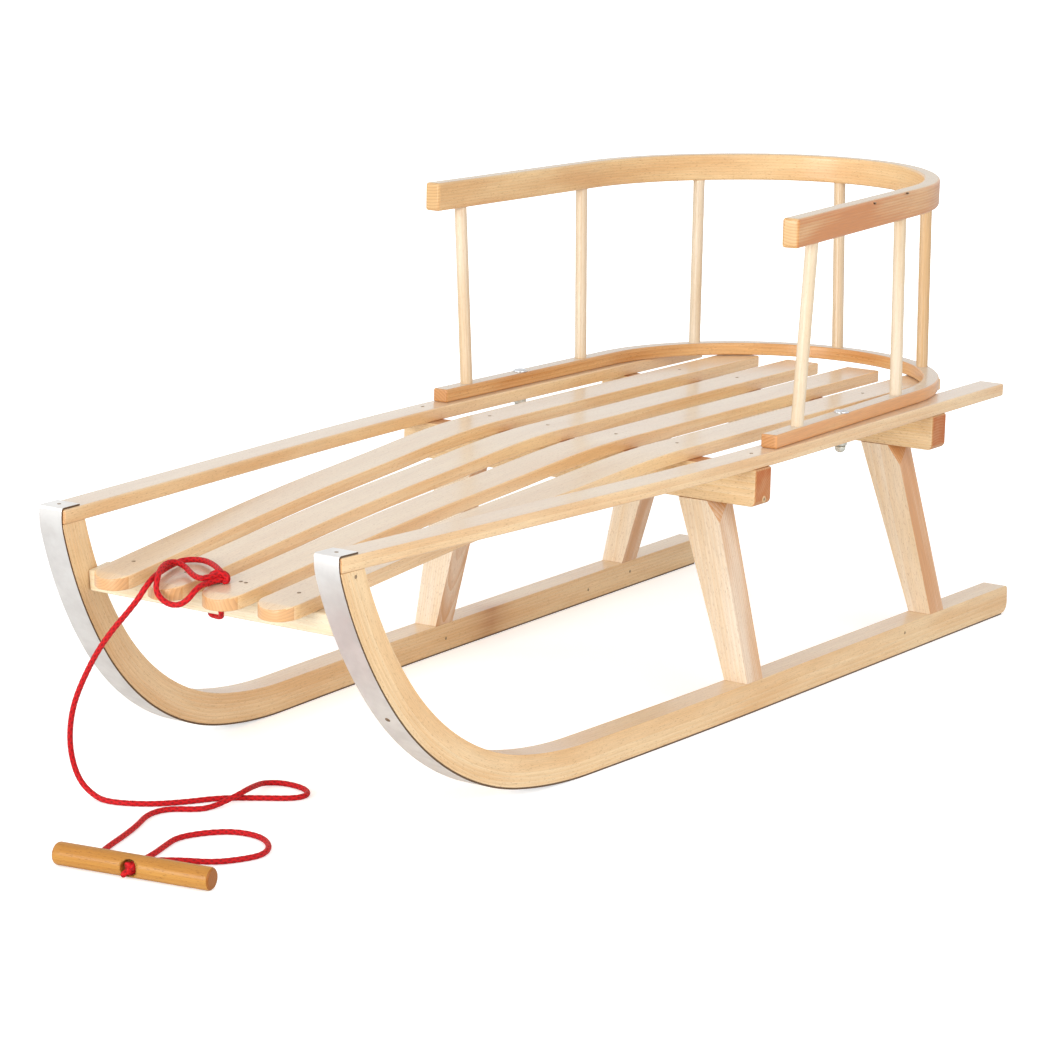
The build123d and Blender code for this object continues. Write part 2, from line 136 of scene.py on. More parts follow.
# Beech, planed and varnished: straight pale grain, short brown flecks, a satin skin.
# The boards come from different trees, so each kind of piece has its own tones.
beechParts = ("pale", "ring", "deep", "fleck", "endGrain", "fleckAmount", "varnish", "shine", "paintedSheen")
beechFinishes = {
    # Slats and rails: honey-coloured boards under clear varnish, with a painted sheen on their tops
    "beechPlaned": ("#EFCD9C", "#E1B37C", "#D6A066", "#A0652F", "#D8A062", 0.45, 1.0, 0.6, 0.5),
    # Bolsters: thinly varnished, so they stay dull; brown ends, and tops painted darker as the slats' shade on
    # them
    "beechPlanedMatt": ("#EFD4AB", "#E2BC86", "#B9652A", "#8A4A20", "#CB8B52", 0.45, 0.4, 0.1, 0),
    # Legs: pale boards, made darker on their outer and inner faces and their cut corner
    "beechPlanedPale": ("#F6E7D2", "#EDD3AF", "#D39863", "#9A5F2E", "#C98E52", 0.4, 0.6, 0.2, 0),
    # Runners: steam has turned them a little browner
    "beechSteamed": ("#EFD0A2", "#E2B67F", "#B98049", "#935A2B", "#D3A066", 0.4, 0.8, 0.3, 0.3),
    # Top bow: golden from the steam, with brown streaks
    "beechSteamBent": ("#EBC997", "#DDB07A", "#CE8548", "#8F5627", "#DDB57E", 0.45, 0.6, 0.15, 0.6),
    # Low bow: cut near the heart, red-brown
    "beechHeartwoodBent": ("#E6B57A", "#CC8B4B", "#E0A064", "#844B22", "#CB915A", 0.45, 0.7, 0.2, 0.8),
    # Spindles and plug: smooth cream dowel with hardly any figure
    "beechTurned": ("#E8D9C2", "#DDC6A4", "#CFA877", "#C79455", "#D9B27A", 0.25, 0.5, 0.3, 0),
    # Crossbar: cream sapwood
    "beechSapwoodPlaned": ("#EFE2C6", "#E5D0A6", "#DDBB86", "#C08D50", "#D9B27A", 0.35, 0.8, 0.3, 0),
    # Tow handle: stained tan, with dark ends
    "beechTurnedStained": ("#C9944A", "#B27A36", "#A8642A", "#7A4A1C", "#A05A1F", 0.6, 0.3, 0.1, 0),
}
beech = {
    "ringWidth": 2.6,  # mm between year rings
    "wavePeriod": 0.314,  # how far apart a ring texture's rings lie at scale 1
    "fibreWidth": 0.5,  # mm, drawn coarser than the real 0.1 so that it shows
    "bandsPerMetre": 55,  # broad tones a few centimetres wide
    "stretch": {"rings": 0.06, "fibres": 1 / 40, "bands": 0.12},  # how slowly each changes along the board
    "fleckLength": 3.2,
    "fleckWidth": 0.55,
    "roughness": (0.37, 0.49),
    "varnishRoughness": 0.2,
    "paintedSheen": "#DCD0BE",
    "paintedSheenFacing": (0.9, 0.98),  # how squarely a face looks up before it gets the painted sheen
    "endStain": 0.85,  # how much of a sawn end's own tone shows
    "endRings": 0.45,
    "ior": 1.5,
}


def makeBeech(name):
    finish = dict(zip(beechParts, beechFinishes[name]))
    material, tree = newMaterial(name)
    grain = addNode(tree, "Attribute", attribute_name="grain", output="Vector")
    along = {}
    for kind, stretch in beech["stretch"].items():
        along[kind] = addNode(tree, "VectorMath", {0: grain, 1: (stretch, 1, 1)}, operation="MULTIPLY")
    # Year rings about a heart that runs along the board, wandering slowly
    rings = addNode(
        tree, "TexWave",
        {"Vector": along["rings"], "Scale": beech["wavePeriod"] / (beech["ringWidth"] * mm),
         "Distortion": 5.0, "Detail": 2.0, "Detail Scale": 0.35, "Detail Roughness": 0.5},
        wave_type="RINGS", rings_direction="X", wave_profile="SAW", output="Fac",
    )
    # Fibres: long thin streaks
    fibres = addNode(
        tree, "TexNoise",
        {"Vector": along["fibres"], "Scale": 1 / (beech["fibreWidth"] * mm), "Detail": 3.0, "Roughness": 0.6},
    )
    fibreTone = addNode(tree, "MapRange", {"Value": fibres, **noiseSpread, "To Min": 0.88, "To Max": 1.08})
    bands = addNode(
        tree, "TexNoise", {"Vector": along["bands"], "Scale": beech["bandsPerMetre"], "Detail": 2.0},
    )
    # Flecks: the ends of the rays, short dark dashes along the grain
    perFleck = (1000 / beech["fleckLength"], *[1000 / beech["fleckWidth"]] * 2)
    fleckSpace = addNode(tree, "VectorMath", {0: grain, 1: perFleck}, operation="MULTIPLY")
    fleckCells = addNode(tree, "TexNoise", {"Vector": fleckSpace, "Scale": 1.0, "Detail": 1.0})
    flecks = addNode(
        tree, "MapRange",
        {"Value": fleckCells, "From Min": 0.62, "From Max": 0.72, "To Max": finish["fleckAmount"]},
    )
    # Pale wood and ring wood, by year ring and broad band
    ringTone = addNode(tree, "MapRange", {"Value": rings, "To Max": 0.5})
    bandTone = addNode(
        tree, "MapRange", {"Value": bands, **noiseSpread, "To Min": -0.3, "To Max": 0.75}, clamp=False,
    )
    ringMix = addNode(tree, "Math", {0: ringTone, 1: bandTone}, operation="ADD", use_clamp=True)
    wood = addNode(tree, "Mix", {0: ringMix, 6: colour(finish["pale"]), 7: colour(finish["ring"])}, **colourMix)
    # Upward faces get a painted sheen: paler, as the bright surroundings reflected in their varnish
    facing = addNode(tree, "NewGeometry", output="Normal")
    upward = addNode(tree, "SeparateXYZ", {0: facing}, output="Z")
    low, high = beech["paintedSheenFacing"]
    paintedSheen = addNode(
        tree, "MapRange", {"Value": upward, "From Min": low, "From Max": high, "To Max": finish["paintedSheen"]},
    )
    sheenPainted = addNode(tree, "Mix", {0: paintedSheen, 6: wood, 7: colour(beech["paintedSheen"])}, **colourMix)
    streaked = addNode(tree, "VectorMath", {0: sheenPainted, "Scale": fibreTone}, operation="SCALE")
    flecked = addNode(tree, "Mix", {0: flecks, 6: streaked, 7: colour(finish["fleck"])}, **colourMix)
    # Sawn ends drink the varnish and go darker
    sawn = addNode(tree, "Attribute", attribute_name="sawnEnd", output="Fac")
    endShare = addNode(tree, "Math", {0: sawn, 1: beech["endStain"]}, operation="MULTIPLY")
    endRings = addNode(tree, "Math", {0: rings, 1: beech["endRings"]}, operation="MULTIPLY")
    endWood = addNode(
        tree, "Mix", {0: endRings, 6: colour(finish["endGrain"]), 7: colour(finish["fleck"])}, **colourMix,
    )
    ended = addNode(tree, "Mix", {0: endShare, 6: flecked, 7: endWood}, **colourMix)
    # Darker wood where a piece has it, heartwood and painted shade alike, with the rings as its figure
    heart = addNode(tree, "Attribute", attribute_name="heartwoodAndShade", output="Fac")
    figure = addNode(tree, "MapRange", {"Value": ringMix, "From Max": 0.8, "To Min": 0.45, "To Max": 1.15})
    deepShare = addNode(tree, "Math", {0: heart, 1: figure}, operation="MULTIPLY", use_clamp=True)
    deepWood = addNode(
        tree, "VectorMath", {0: colour(finish["deep"])[:3], "Scale": fibreTone}, operation="SCALE",
    )
    deepened = addNode(tree, "Mix", {0: deepShare, 6: ended, 7: deepWood}, **colourMix)
    # Fibres stand a little proud and flecks a little low under the varnish
    height = addNode(tree, "Math", {0: fibres, 1: flecks}, operation="SUBTRACT")
    bump = addNode(tree, "Bump", {"Strength": 0.35, "Distance": 0.0002, "Height": height})
    smooth, rough = beech["roughness"]
    gloss = addNode(tree, "MapRange", {"Value": fibres, **noiseSpread, "To Min": smooth, "To Max": rough})
    shader = addNode(
        tree, "BsdfPrincipled",
        {"Base Color": deepened, "Roughness": gloss, "Normal": bump, "IOR": beech["ior"],
         "Specular IOR Level": finish["shine"], "Coat Weight": finish["varnish"],
         "Coat Roughness": beech["varnishRoughness"]},
    )
    addNode(tree, "OutputMaterial", {"Surface": shader})
    return material


metals = {
    # Zinc-coated steel band, rolled: pale grey with faint cloudy spangle and drawn lines; dark side faces, bare
    # steel with painted shade of the gap beside the wood
    "galvanisedSteelRolled": {
        "base": "#EFEDEA", "dull": "#E2DFDC", "edge": "#75604E",
        "roughness": 0.34, "cloud": 60, "lines": 1.0, "metal": 1.0,
    },
    # Chromed steel, polished: near-mirror domes
    "chromedSteelPolished": {
        "base": "#DADBDD", "dull": "#C9CBCE", "edge": "#DADBDD",
        "roughness": 0.1, "cloud": 200, "lines": 0.0, "metal": 1.0,
    },
    # Zinc-plated steel, bright but not polished: soft pale reflections
    "zincPlatedBright": {
        "base": "#DADBD2", "dull": "#C6C8BE", "edge": "#DADBD2",
        "roughness": 0.3, "cloud": 300, "lines": 0.0, "metal": 0.6,
    },
    # Bare wire nails, driven flush: small grey-brown dots
    "nailSteelDrawn": {
        "base": "#A08A70", "dull": "#6B5139", "edge": "#A08A70",
        "roughness": 0.4, "cloud": 900, "lines": 0.0, "metal": 1.0,
    },
}
# Drawn lines per metre along, across and through: about 0.6 mm each, coarser than real ones
drawnLines = (12, 1600, 1600)


def makeMetal(name):
    finish = metals[name]
    material, tree = newMaterial(name)
    place = addNode(tree, "TexCoord", output="Object")
    cloud = addNode(tree, "TexNoise", {"Vector": place, "Scale": finish["cloud"], "Detail": 4.0})
    grain = addNode(tree, "Attribute", attribute_name="grain", output="Vector")
    drawn = addNode(tree, "VectorMath", {0: grain, 1: drawnLines}, operation="MULTIPLY")
    lines = addNode(tree, "TexNoise", {"Vector": drawn, "Scale": 1.0, "Detail": 3.0})
    dullness = addNode(tree, "MapRange", {"Value": cloud, "From Min": 0.35, "From Max": 0.65})
    shade = addNode(
        tree, "Mix", {0: dullness, 6: colour(finish["base"]), 7: colour(finish["dull"])}, **colourMix,
    )
    rough = finish["roughness"]
    gloss = addNode(
        tree, "MapRange", {"Value": cloud, **noiseSpread, "To Min": rough * 0.85, "To Max": rough * 1.25},
    )
    bump = addNode(
        tree, "Bump", {"Strength": 0.12 * finish["lines"] + 0.02, "Distance": 0.0001, "Height": lines},
    )
    # A band's sheared edges are dark: bare steel, and painted shade of the gap beside the wood
    shearedAndShaded = addNode(tree, "Attribute", attribute_name="shearedAndShaded", output="Fac")
    edged = addNode(tree, "Mix", {0: shearedAndShaded, 6: shade, 7: colour(finish["edge"])}, **colourMix)
    shader = addNode(
        tree, "BsdfPrincipled",
        {"Base Color": edged, "Metallic": finish["metal"], "Roughness": gloss, "Normal": bump},
    )
    addNode(tree, "OutputMaterial", {"Surface": shader})
    return material


# Polyester cord, braided: soft red yarns, with painted shade darkening the grooves between them
cordFinish = {
    "yarn": "#CE0612", "paintedGrooveShade": "#76040B", "roughness": 0.6, "shine": 0.25, "fuzz": 0.04, "fuzzRoughness": 0.5,
    "threads": 2200,  # per metre, about 0.45 mm apart
    "ior": 1.5,
}


def makeCord():
    material, tree = newMaterial("polyesterBraided")
    weave = addNode(tree, "Attribute", attribute_name="weave", output="Fac")
    place = addNode(tree, "TexCoord", output="Object")
    fuzz = addNode(tree, "TexNoise", {"Vector": place, "Scale": cordFinish["threads"], "Detail": 2.0})
    # Grooves between the yarns painted darker, as shade
    shade = addNode(
        tree, "Mix", {0: weave, 6: colour(cordFinish["paintedGrooveShade"]), 7: colour(cordFinish["yarn"])}, **colourMix,
    )
    tone = addNode(tree, "MapRange", {"Value": fuzz, **noiseSpread, "To Min": 0.88, "To Max": 1.06})
    yarn = addNode(tree, "VectorMath", {0: shade, "Scale": tone}, operation="SCALE")
    bump = addNode(tree, "Bump", {"Strength": 0.3, "Distance": 0.0002, "Height": fuzz})
    shader = addNode(
        tree, "BsdfPrincipled",
        {"Base Color": yarn, "Roughness": cordFinish["roughness"], "Normal": bump, "IOR": cordFinish["ior"],
         "Specular IOR Level": cordFinish["shine"], "Sheen Weight": cordFinish["fuzz"],
         "Sheen Roughness": cordFinish["fuzzRoughness"]},
    )
    addNode(tree, "OutputMaterial", {"Surface": shader})
    return material


materials = {name: makeBeech(name) for name in beechFinishes}
materials.update({name: makeMetal(name) for name in metals})
materials["polyesterBraided"] = makeCord()
slots = {
    "beech": ("beechPlaned", "beechPlanedMatt", "beechPlanedPale", "beechSteamed"),
    "beech_dark": ("beechSteamBent", "beechHeartwoodBent", "beechTurnedStained"),
    "beech_pale": ("beechTurned", "beechSapwoodPlaned"),
    "galvanised_strip": ("galvanisedSteelRolled",),
    "zinc_fixings": ("chromedSteelPolished", "zincPlatedBright", "nailSteelDrawn"),
    "red_cord": ("polyesterBraided",),
}
slotOf = {name: slot for slot, names in slots.items() for name in names}
print("materials made:", len(materials))


# Shapes
def walk(start, heading, moves, step=1.5):
    # Points of a flat path made of straight runs and turns (radius, degrees, + to the left)
    x, y = start
    points = [(x, y)]
    for move in moves:
        if len(move) == 1:
            count = max(1, ceil(move[0] / 6))
            for i in range(1, count + 1):
                points.append((x + cos(heading) * move[0] * i / count, y + sin(heading) * move[0] * i / count))
        else:
            radius, turn = move[0], radians(move[1])
            side = 1 if turn > 0 else -1
            count = max(2, ceil(radius * abs(turn) / step))
            cx, cy = x - sin(heading) * radius * side, y + cos(heading) * radius * side
            for i in range(1, count + 1):
                angle = heading + turn * i / count
                points.append((cx + sin(angle) * radius * side, cy - cos(angle) * radius * side))
            heading += turn
        x, y = points[-1]
    return points


class Path:
    # Path read by the distance along it
    def __init__(self, points):
        self.points = [Vector(p) for p in points]
        self.reach = [0]
        for a, b in zip(self.points, self.points[1:]):
            self.reach.append(self.reach[-1] + (b - a).length)
        self.length = self.reach[-1]

    def at(self, s):
        low = min(max(bisect_right(self.reach, s) - 1, 0), len(self.reach) - 2)
        share = (s - self.reach[low]) / (self.reach[low + 1] - self.reach[low])
        return self.points[low].lerp(self.points[low + 1], share)

    def normal(self, s):
        # Unit vector to the left of a flat path
        along = (self.at(min(s + 1.5, self.length)) - self.at(max(s - 1.5, 0))).normalized()
        return Vector((-along.y, along.x))


def gentleLine(points, radius):
    # Edge of a strip with one gentle bend, as its distance out at each x
    (x0, y0), (x1, y1), (x2, y2) = points
    before, after = (y1 - y0) / (x1 - x0), (y2 - y1) / (x2 - x1)
    half = radius * abs(after - before) / 2

    def reach(x):
        if x <= x1 - half:
            return y1 + before * (x - x1)
        if x >= x1 + half:
            return y1 + after * (x - x1)
        t = x - (x1 - half)
        return y1 - before * half + before * t + (after - before) * t * t / (4 * half)
    return reach


def roundCorner(corner, radius, before, after, count=5):
    # Points of a rounded corner between two directions, given as unit steps away from it
    bx, by = corner[0] + before[0] * radius, corner[1] + before[1] * radius
    cx, cy = bx + after[0] * radius, by + after[1] * radius
    points = []
    for i in range(count + 1):
        t = pi / 2 * i / count
        points.append((
            cx - after[0] * radius * cos(t) - before[0] * radius * sin(t),
            cy - after[1] * radius * cos(t) - before[1] * radius * sin(t),
        ))
    return points


def slicePlane(shape, spot, facing, **settings):
    everything = shape.verts[:] + shape.edges[:] + shape.faces[:]
    return bmesh.ops.bisect_plane(shape, geom=everything, plane_co=spot, plane_no=facing, **settings)


def cutBoard(outline, low, high, view, step):
    # Straight board in its own space, x along the grain, cut to an outline seen from above or from the side
    def spot(s, t, w):
        return (s, t, w) if view == "above" else (s, w, t)
    board = bmesh.new()
    face = board.faces.new([board.verts.new(spot(s, t, low)) for s, t in outline])
    grown = bmesh.ops.extrude_face_region(board, geom=[face])["geom"]
    shift = Vector(spot(0, 0, high - low))
    for item in grown:
        if isinstance(item, bmesh.types.BMVert):
            item.co += shift
    bmesh.ops.recalc_face_normals(board, faces=board.faces[:])
    start, end = min(s for s, t in outline), max(s for s, t in outline)
    count = int((end - start) / step)
    for i in range(1, count):
        slicePlane(board, (start + (end - start) * i / count, 0, 0), (1, 0, 0), dist=0.0001)
    return board


def roundEdges(board, radius, segments=3):
    sharp = [e for e in board.edges if len(e.link_faces) == 2 and e.calc_face_angle(0) > radians(32)]
    bmesh.ops.bevel(
        board, geom=sharp, offset=radius, segments=segments, profile=0.5, affect="EDGES", clamp_overlap=True,
    )


def joinRings(shape, rings, smooth=False):
    # Skin over rings of points, closed at both ends
    for a, b in zip(rings, rings[1:]):
        count = len(a)
        for i in range(count):
            shape.faces.new((a[i], a[(i + 1) % count], b[(i + 1) % count], b[i])).smooth = smooth
    shape.faces.new(rings[0])
    shape.faces.new(rings[-1])


def turnedRod(profile, sides=28):
    # Lathe-turned rod about its own x, from (along, radius) pairs
    rod = bmesh.new()
    rings = []
    for s, radius in profile:
        turns = [2 * pi * i / sides for i in range(sides)]
        rings.append([rod.verts.new((s, radius * cos(turn), radius * sin(turn))) for turn in turns])
    joinRings(rod, rings)
    bmesh.ops.recalc_face_normals(rod, faces=rod.faces[:])
    return rod


def addShape(whole, part):
    # Moves a shape into another one
    spare = bpy.data.meshes.new("spare")
    part.to_mesh(spare)
    part.free()
    whole.from_mesh(spare)
    bpy.data.meshes.remove(spare)


def addObject(name, shape):
    mesh = bpy.data.meshes.new(name)
    shape.to_mesh(mesh)
    shape.free()
    thing = bpy.data.objects.new(name, mesh)
    scene.collection.objects.link(thing)
    return thing


def finishPiece(piece, material, nodes):
    # Gives a piece its material and tells the frame what it is
    piece.data.materials.append(materials[material])
    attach(piece, "root")
    if nodes:
        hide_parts(*nodes)
    return piece


# Where each board lies in its tree, so that no two show the same grain
boardCut = {
    "firstTurn": 0.7, "turn": 2.399,
    "along": 40,  # mm further along the trunk for each board
    "out": (45, 35, 1.7),  # mm from the heart, how much it varies, and how fast
    "aside": (30, 2.3),
}
boardCount = 0


def shapePiece(name, shape, place, material, nodes=(), heart=None, darker=None):
    # Stores each point's spot in the wood, then bends the straight shape into its place
    global boardCount
    boardCount += 1
    turn = boardCut["firstTurn"] + boardCut["turn"] * boardCount
    out, vary, rate = boardCut["out"]
    aside, asideRate = boardCut["aside"]
    along = boardCut["along"] * boardCount
    offset = heart or (along, out + vary * sin(turn * rate), aside * cos(turn * asideRate))
    grain = shape.verts.layers.float_vector.new("grain")
    heartwoodAndShade = shape.verts.layers.float.new("heartwoodAndShade")
    sawnEnd = shape.faces.layers.float.new("sawnEnd")
    shearedAndShaded = shape.faces.layers.float.new("shearedAndShaded")
    for face in shape.faces:
        face.smooth = True
        face[shearedAndShaded] = 1.0 if abs(face.normal.y) > 0.6 else 0.0
        face[sawnEnd] = 1.0 if abs(face.normal.x) > 0.45 else 0.0
    cut = Matrix.Rotation(turn, 3, "X")
    for vert in shape.verts:
        vert[grain] = (cut @ vert.co + Vector(offset)) * mm
        vert[heartwoodAndShade] = darker(*vert.co) if darker else 0.0
    for vert in shape.verts:
        vert.co = Vector(place(*vert.co)) * mm
    bmesh.ops.recalc_face_normals(shape, faces=shape.faces[:])
    piece = addObject(name, shape)
    flat = piece.modifiers.new("flatFaces", "WEIGHTED_NORMAL")
    flat.keep_sharp = True
    return finishPiece(piece, material, nodes)


# Runners, steamed and bent, and the steel strips below them
runner = {
    "bends": [(494, 10.66), (257, 41.1)],  # radius and degrees
    "lastRadius": 345,
    "outer": [(-507, 183.2), (68, 171.3), (541, 147.2)],
    "bendRadius": 8000,
    "tailCorner": 10,
    "topCorner": 4,
    "edge": 1.8,
    "darkPatch": (390, 60, 0.85),  # where on the right runner's inner face, how far it reaches, and its tone
    "stripThickness": 1.6,
    "stripInset": 0.5,
    "stripTab": 22,
    "stripBend": 3,
    "stripEdge": 0.35,
}
twoBends = sum(angle for radius, angle in runner["bends"])


def bendEnd(heading):
    # How far on and how high the sole has come once it has turned up to a heading in the last bend
    x, z, turned = 0, 0, 0
    for radius, angle in runner["bends"] + [(runner["lastRadius"], heading - twoBends)]:
        x += radius * (sin(radians(turned + angle)) - sin(radians(turned)))
        z += radius * (cos(radians(turned)) - cos(radians(turned + angle)))
        turned += angle
    return x, z


hornHeading = degrees(acos(cos(radians(twoBends)) - (railBottom - bendEnd(twoBends)[1]) / runner["lastRadius"]))
flatRun = sled["front"] - bendEnd(hornHeading)[0] - sled["rear"]
pastHorn = 8  # degrees that the path goes on, for the horn's level cut
lastBend = (runner["lastRadius"], hornHeading - twoBends + pastHorn)
sole = Path(walk((sled["rear"], 0), 0, [(flatRun,), *runner["bends"], lastBend]))
runnerOuter = gentleLine(runner["outer"], runner["bendRadius"])


def outerFace(x, z):
    # How far out a runner's leaning outer face is
    return runnerOuter(x) - sled["lean"] * z


def soleAt(s, v):
    point, normal = sole.at(s), sole.normal(s)
    return point.x + normal.x * v, point.y + normal.y * v


def hornCut(v):
    # How far along the sole the level cut at the rail lies, at a depth into the runner
    low, high = sole.length * 0.6, sole.length
    for i in range(30):
        middle = (low + high) / 2
        if soleAt(middle, v)[1] < railBottom:
            low = middle
        else:
            high = middle
    return low


def makeRunner(side, name):
    low, high = runner["stripThickness"], sled["runnerHeight"]
    outline = roundCorner((0, high), runner["topCorner"], (1, 0), (0, -1))
    outline += roundCorner((0, low), runner["tailCorner"], (0, 1), (1, 0))
    outline += [(hornCut(v), v) for v in (low, low + 6, (low + high) / 2, high - 6, high)]
    shape = cutBoard(outline, 0, sled["runnerWidth"], "side", 9)
    roundEdges(shape, runner["edge"])

    def place(s, u, v):
        x, z = soleAt(s, v)
        return x, side * (outerFace(x, z) - u), z

    def darker(s, u, v):
        where, reach, tone = runner["darkPatch"]
        onInside = side < 0 and u > 20
        return tone * max(0, 1 - abs(s - where) / reach) ** 2 if onInside else 0
    shapePiece(name + "Runner", shape, place, "beechSteamed", ["runner_" + name], darker=darker)


def makeStrip(side, name):
    # Follows the sole, stands up past the rail's end and turns back over it
    thick, tab, bend = runner["stripThickness"], runner["stripTab"], runner["stripBend"]
    first, last, steps = runner["tailCorner"], hornCut(0) - 5, 260
    points = [sole.at(first + i * (last - first) / steps) for i in range(steps + 1)]
    front, top = sled["front"], sled["seatHeight"] + thick
    points += [(front - 0.1, railBottom + 3), (front, railBottom + 6)]
    points += walk((front, top - bend), pi / 2, [(bend, 90), (tab - bend,)], step=0.4)
    band = Path(points)
    width = sled["runnerWidth"] - 2 * runner["stripInset"]
    outline = [(0, 0), (band.length, 0), (band.length, thick), (0, thick)]
    shape = cutBoard(outline, 0, width, "side", 4)
    slicePlane(shape, (0, width / 2, 0), (0, 1, 0))
    for i in range(22):
        # Close cuts round the turn over the rail
        slicePlane(shape, (band.length - tab - 4 + i * 0.5, 0, 0), (1, 0, 0))
    roundEdges(shape, runner["stripEdge"], 2)

    def place(s, u, v):
        s = min(max(s, 0), band.length - 0.001)
        point, normal = band.at(s), band.normal(s)
        x, z = point.x + normal.x * v, point.y + normal.y * v
        return x, side * (outerFace(x, z) - runner["stripInset"] - u), z
    shapePiece(name + "Strip", shape, place, "galvanisedSteelRolled", ["runner_strip_" + name])


sides = {"left": 1, "right": -1}
for name, side in sides.items():
    makeRunner(side, name)
    makeStrip(side, name)
print("runners and strips made")

rail = {
    "line": [(-477, 177.2), (30, 179.7), (519.4, 141.8)],
    "bendRadius": 3500,
    "width": 25.6,
    "corner": 3,
    "edge": 1.6,
}
railOuter = gentleLine(rail["line"], rail["bendRadius"])


def makeRail(side, name):
    start, end = rail["line"][0][0], rail["line"][2][0]
    outline = roundCorner((start, 0), rail["corner"], (0, 1), (1, 0)) + [(end, 0), (end, rail["width"])]
    outline += roundCorner((start, rail["width"]), rail["corner"], (1, 0), (0, -1))
    shape = cutBoard(outline, 0, sled["railThickness"], "above", 12)
    roundEdges(shape, rail["edge"])

    def place(s, u, v):
        return s, side * (railOuter(s) - u), railBottom + v
    shapePiece(name + "Rail", shape, place, "beechPlaned", ["side_rail_" + name])


for name, side in sides.items():
    makeRail(side, name)

bolster = {
    "corner": 5,
    "edge": 1.6,
    "paintedTopShade": 0.8,  # the top is painted darker, as the shade of the slats above it
    "endTone": {"front": (0.45, 0.95), "rear": (1, 1)},  # at the bottom and at the top
}
legs = {
    "rake": 12,
    "cut": (22, 9, 18),  # back along the sled, in from the side, down from the top
    "topOuter": 141.9,
    "topInner": 105.3,
    "footClearance": 0.3,
    "edge": 1.5,
    # the cut corner is darker: partly darker wood, partly painted shade
    "cutTone": 0.9,
    "outerTone": {"front": 0.6, "rear": 0.9},  # how dark the outer faces are made
    "innerTone": 0.75,
}


def makeBolster(middle, halfWidth, name):
    depth, height, corner = sled["bolsterDepth"], sled["bolsterHeight"], bolster["corner"]
    outline = roundCorner((-halfWidth, 0), corner, (0, 1), (1, 0))
    outline += roundCorner((halfWidth, 0), corner, (-1, 0), (0, 1))
    outline += [(halfWidth, height), (-halfWidth, height)]
    shape = cutBoard(outline, -depth / 2, depth / 2, "side", 14)
    roundEdges(shape, bolster["edge"])

    def place(s, u, v):
        return middle + u, s, bolsterBottom + v

    def darker(s, u, v):
        low, high = bolster["endTone"][name]
        # Tops painted darker as the slats' shade on them; sawn ends darker, the front ones most at their top
        onTop, onEnd = v > height - 0.1, abs(s) > halfWidth - 0.1
        return max(bolster["paintedTopShade"] * onTop, (low + (high - low) * (v / height)) * onEnd)
    shapePiece(name + "Bolster", shape, place, "beechPlanedMatt", ["bolster_" + name], darker=darker)


def makeLeg(middle, side, end, name):
    depth = sled["bolsterDepth"]
    topFront = middle + depth / 2
    height = bolsterBottom - sled["runnerHeight"]
    footOuter = outerFace(topFront - legs["rake"] - depth / 2, sled["runnerHeight"]) - legs["footClearance"]
    footWidth = sled["runnerWidth"] - 2 * legs["footClearance"]
    topWidth = legs["topOuter"] - legs["topInner"]
    outline = [(0, -depth / 2), (height, -depth / 2), (height, depth / 2), (0, depth / 2)]
    shape = cutBoard(outline, 0, 1, "side", 9)
    for share in (0.25, 0.5, 0.75):
        slicePlane(shape, (0, share, 0), (0, 1, 0))

    def widthAt(s):
        share = s / height
        return topWidth * share + footWidth * (1 - share)
    for vert in shape.verts:  # from a share of the width to millimetres, 0 at the outer face
        vert.co.y *= widthAt(vert.co.x)
    back, inward, down = legs["cut"]
    behind = Vector((height, 0, depth / 2 - back))
    inside = Vector((height, inward, depth / 2))
    below = Vector((height - down, 0, depth / 2))
    cutFacing = (behind - below).cross(inside - below)
    cut = slicePlane(shape, below, cutFacing, clear_outer=True)
    rim = [item for item in cut["geom_cut"] if isinstance(item, bmesh.types.BMEdge)]
    bmesh.ops.contextual_create(shape, geom=rim)
    bmesh.ops.recalc_face_normals(shape, faces=shape.faces[:])
    roundEdges(shape, legs["edge"])

    def place(s, u, v):
        share = s / height
        outer = legs["topOuter"] * share + footOuter * (1 - share)
        return middle + v - legs["rake"] * (1 - share), side * (outer - u), sled["runnerHeight"] + s

    def darker(s, u, v):
        # Cut corner darker, partly wood and partly painted shade; outer and inner faces darker too
        if abs((Vector((s, u, v)) - below).dot(cutFacing.normalized())) < 0.1:
            return legs["cutTone"]
        if u < 0.15:
            return legs["outerTone"][end]
        return legs["innerTone"] if u > widthAt(s) - 0.15 else 0
    shapePiece(
        f"{end}{name.capitalize()}Leg", shape, place, "beechPlanedPale", [f"leg_{end}_{name}"], darker=darker,
    )


for end in ("front", "rear"):
    middle, halfWidth = sled[end + "Bolster"]
    makeBolster(middle, halfWidth, end)
    for name, side in sides.items():
        makeLeg(middle, side, end, name)
print("rails, bolsters and legs made")

slat = {
    "lines": [(-99, -96.1, -77), (-33, -32, -25.7), (33, 32, 25.7), (99, 96.1, 77)],
    "rear": -466,
    "bendAt": 16,
    "bendRadius": 6000,
    "tip": 521,
    "tipCorner": 16,
    "rearCorner": 1.5,
    "tipDrop": (14, 2.6),  # the last mm of the top are eased off, by this much at the very tip
    # x, height of the top and its slope, where the curve starts, in its middle, and where it ends
    "knots": [(-4.2, 224.5, 0), (129, 217.3, -0.0842), (273, 206.4, -0.0869), (456, 187.67, -0.109)],
    "edge": 1.8,
}


def slatTop(x):
    # Height of a slat's top: flat, then sprung down, then straight to the tip
    knots = slat["knots"]
    if x <= knots[0][0]:
        return knots[0][1]
    for (x0, z0, m0), (x1, z1, m1) in zip(knots, knots[1:]):
        if x <= x1:
            h = x1 - x0
            t = (x - x0) / h
            return (
                z0 * (1 + 2 * t) * (1 - t) ** 2 + z1 * t * t * (3 - 2 * t)
                + h * m0 * t * (1 - t) ** 2 - h * m1 * t * t * (1 - t)
            )
    return sled["slatLine"][1] + sled["slatLine"][2] * (x - sled["slatLine"][0])


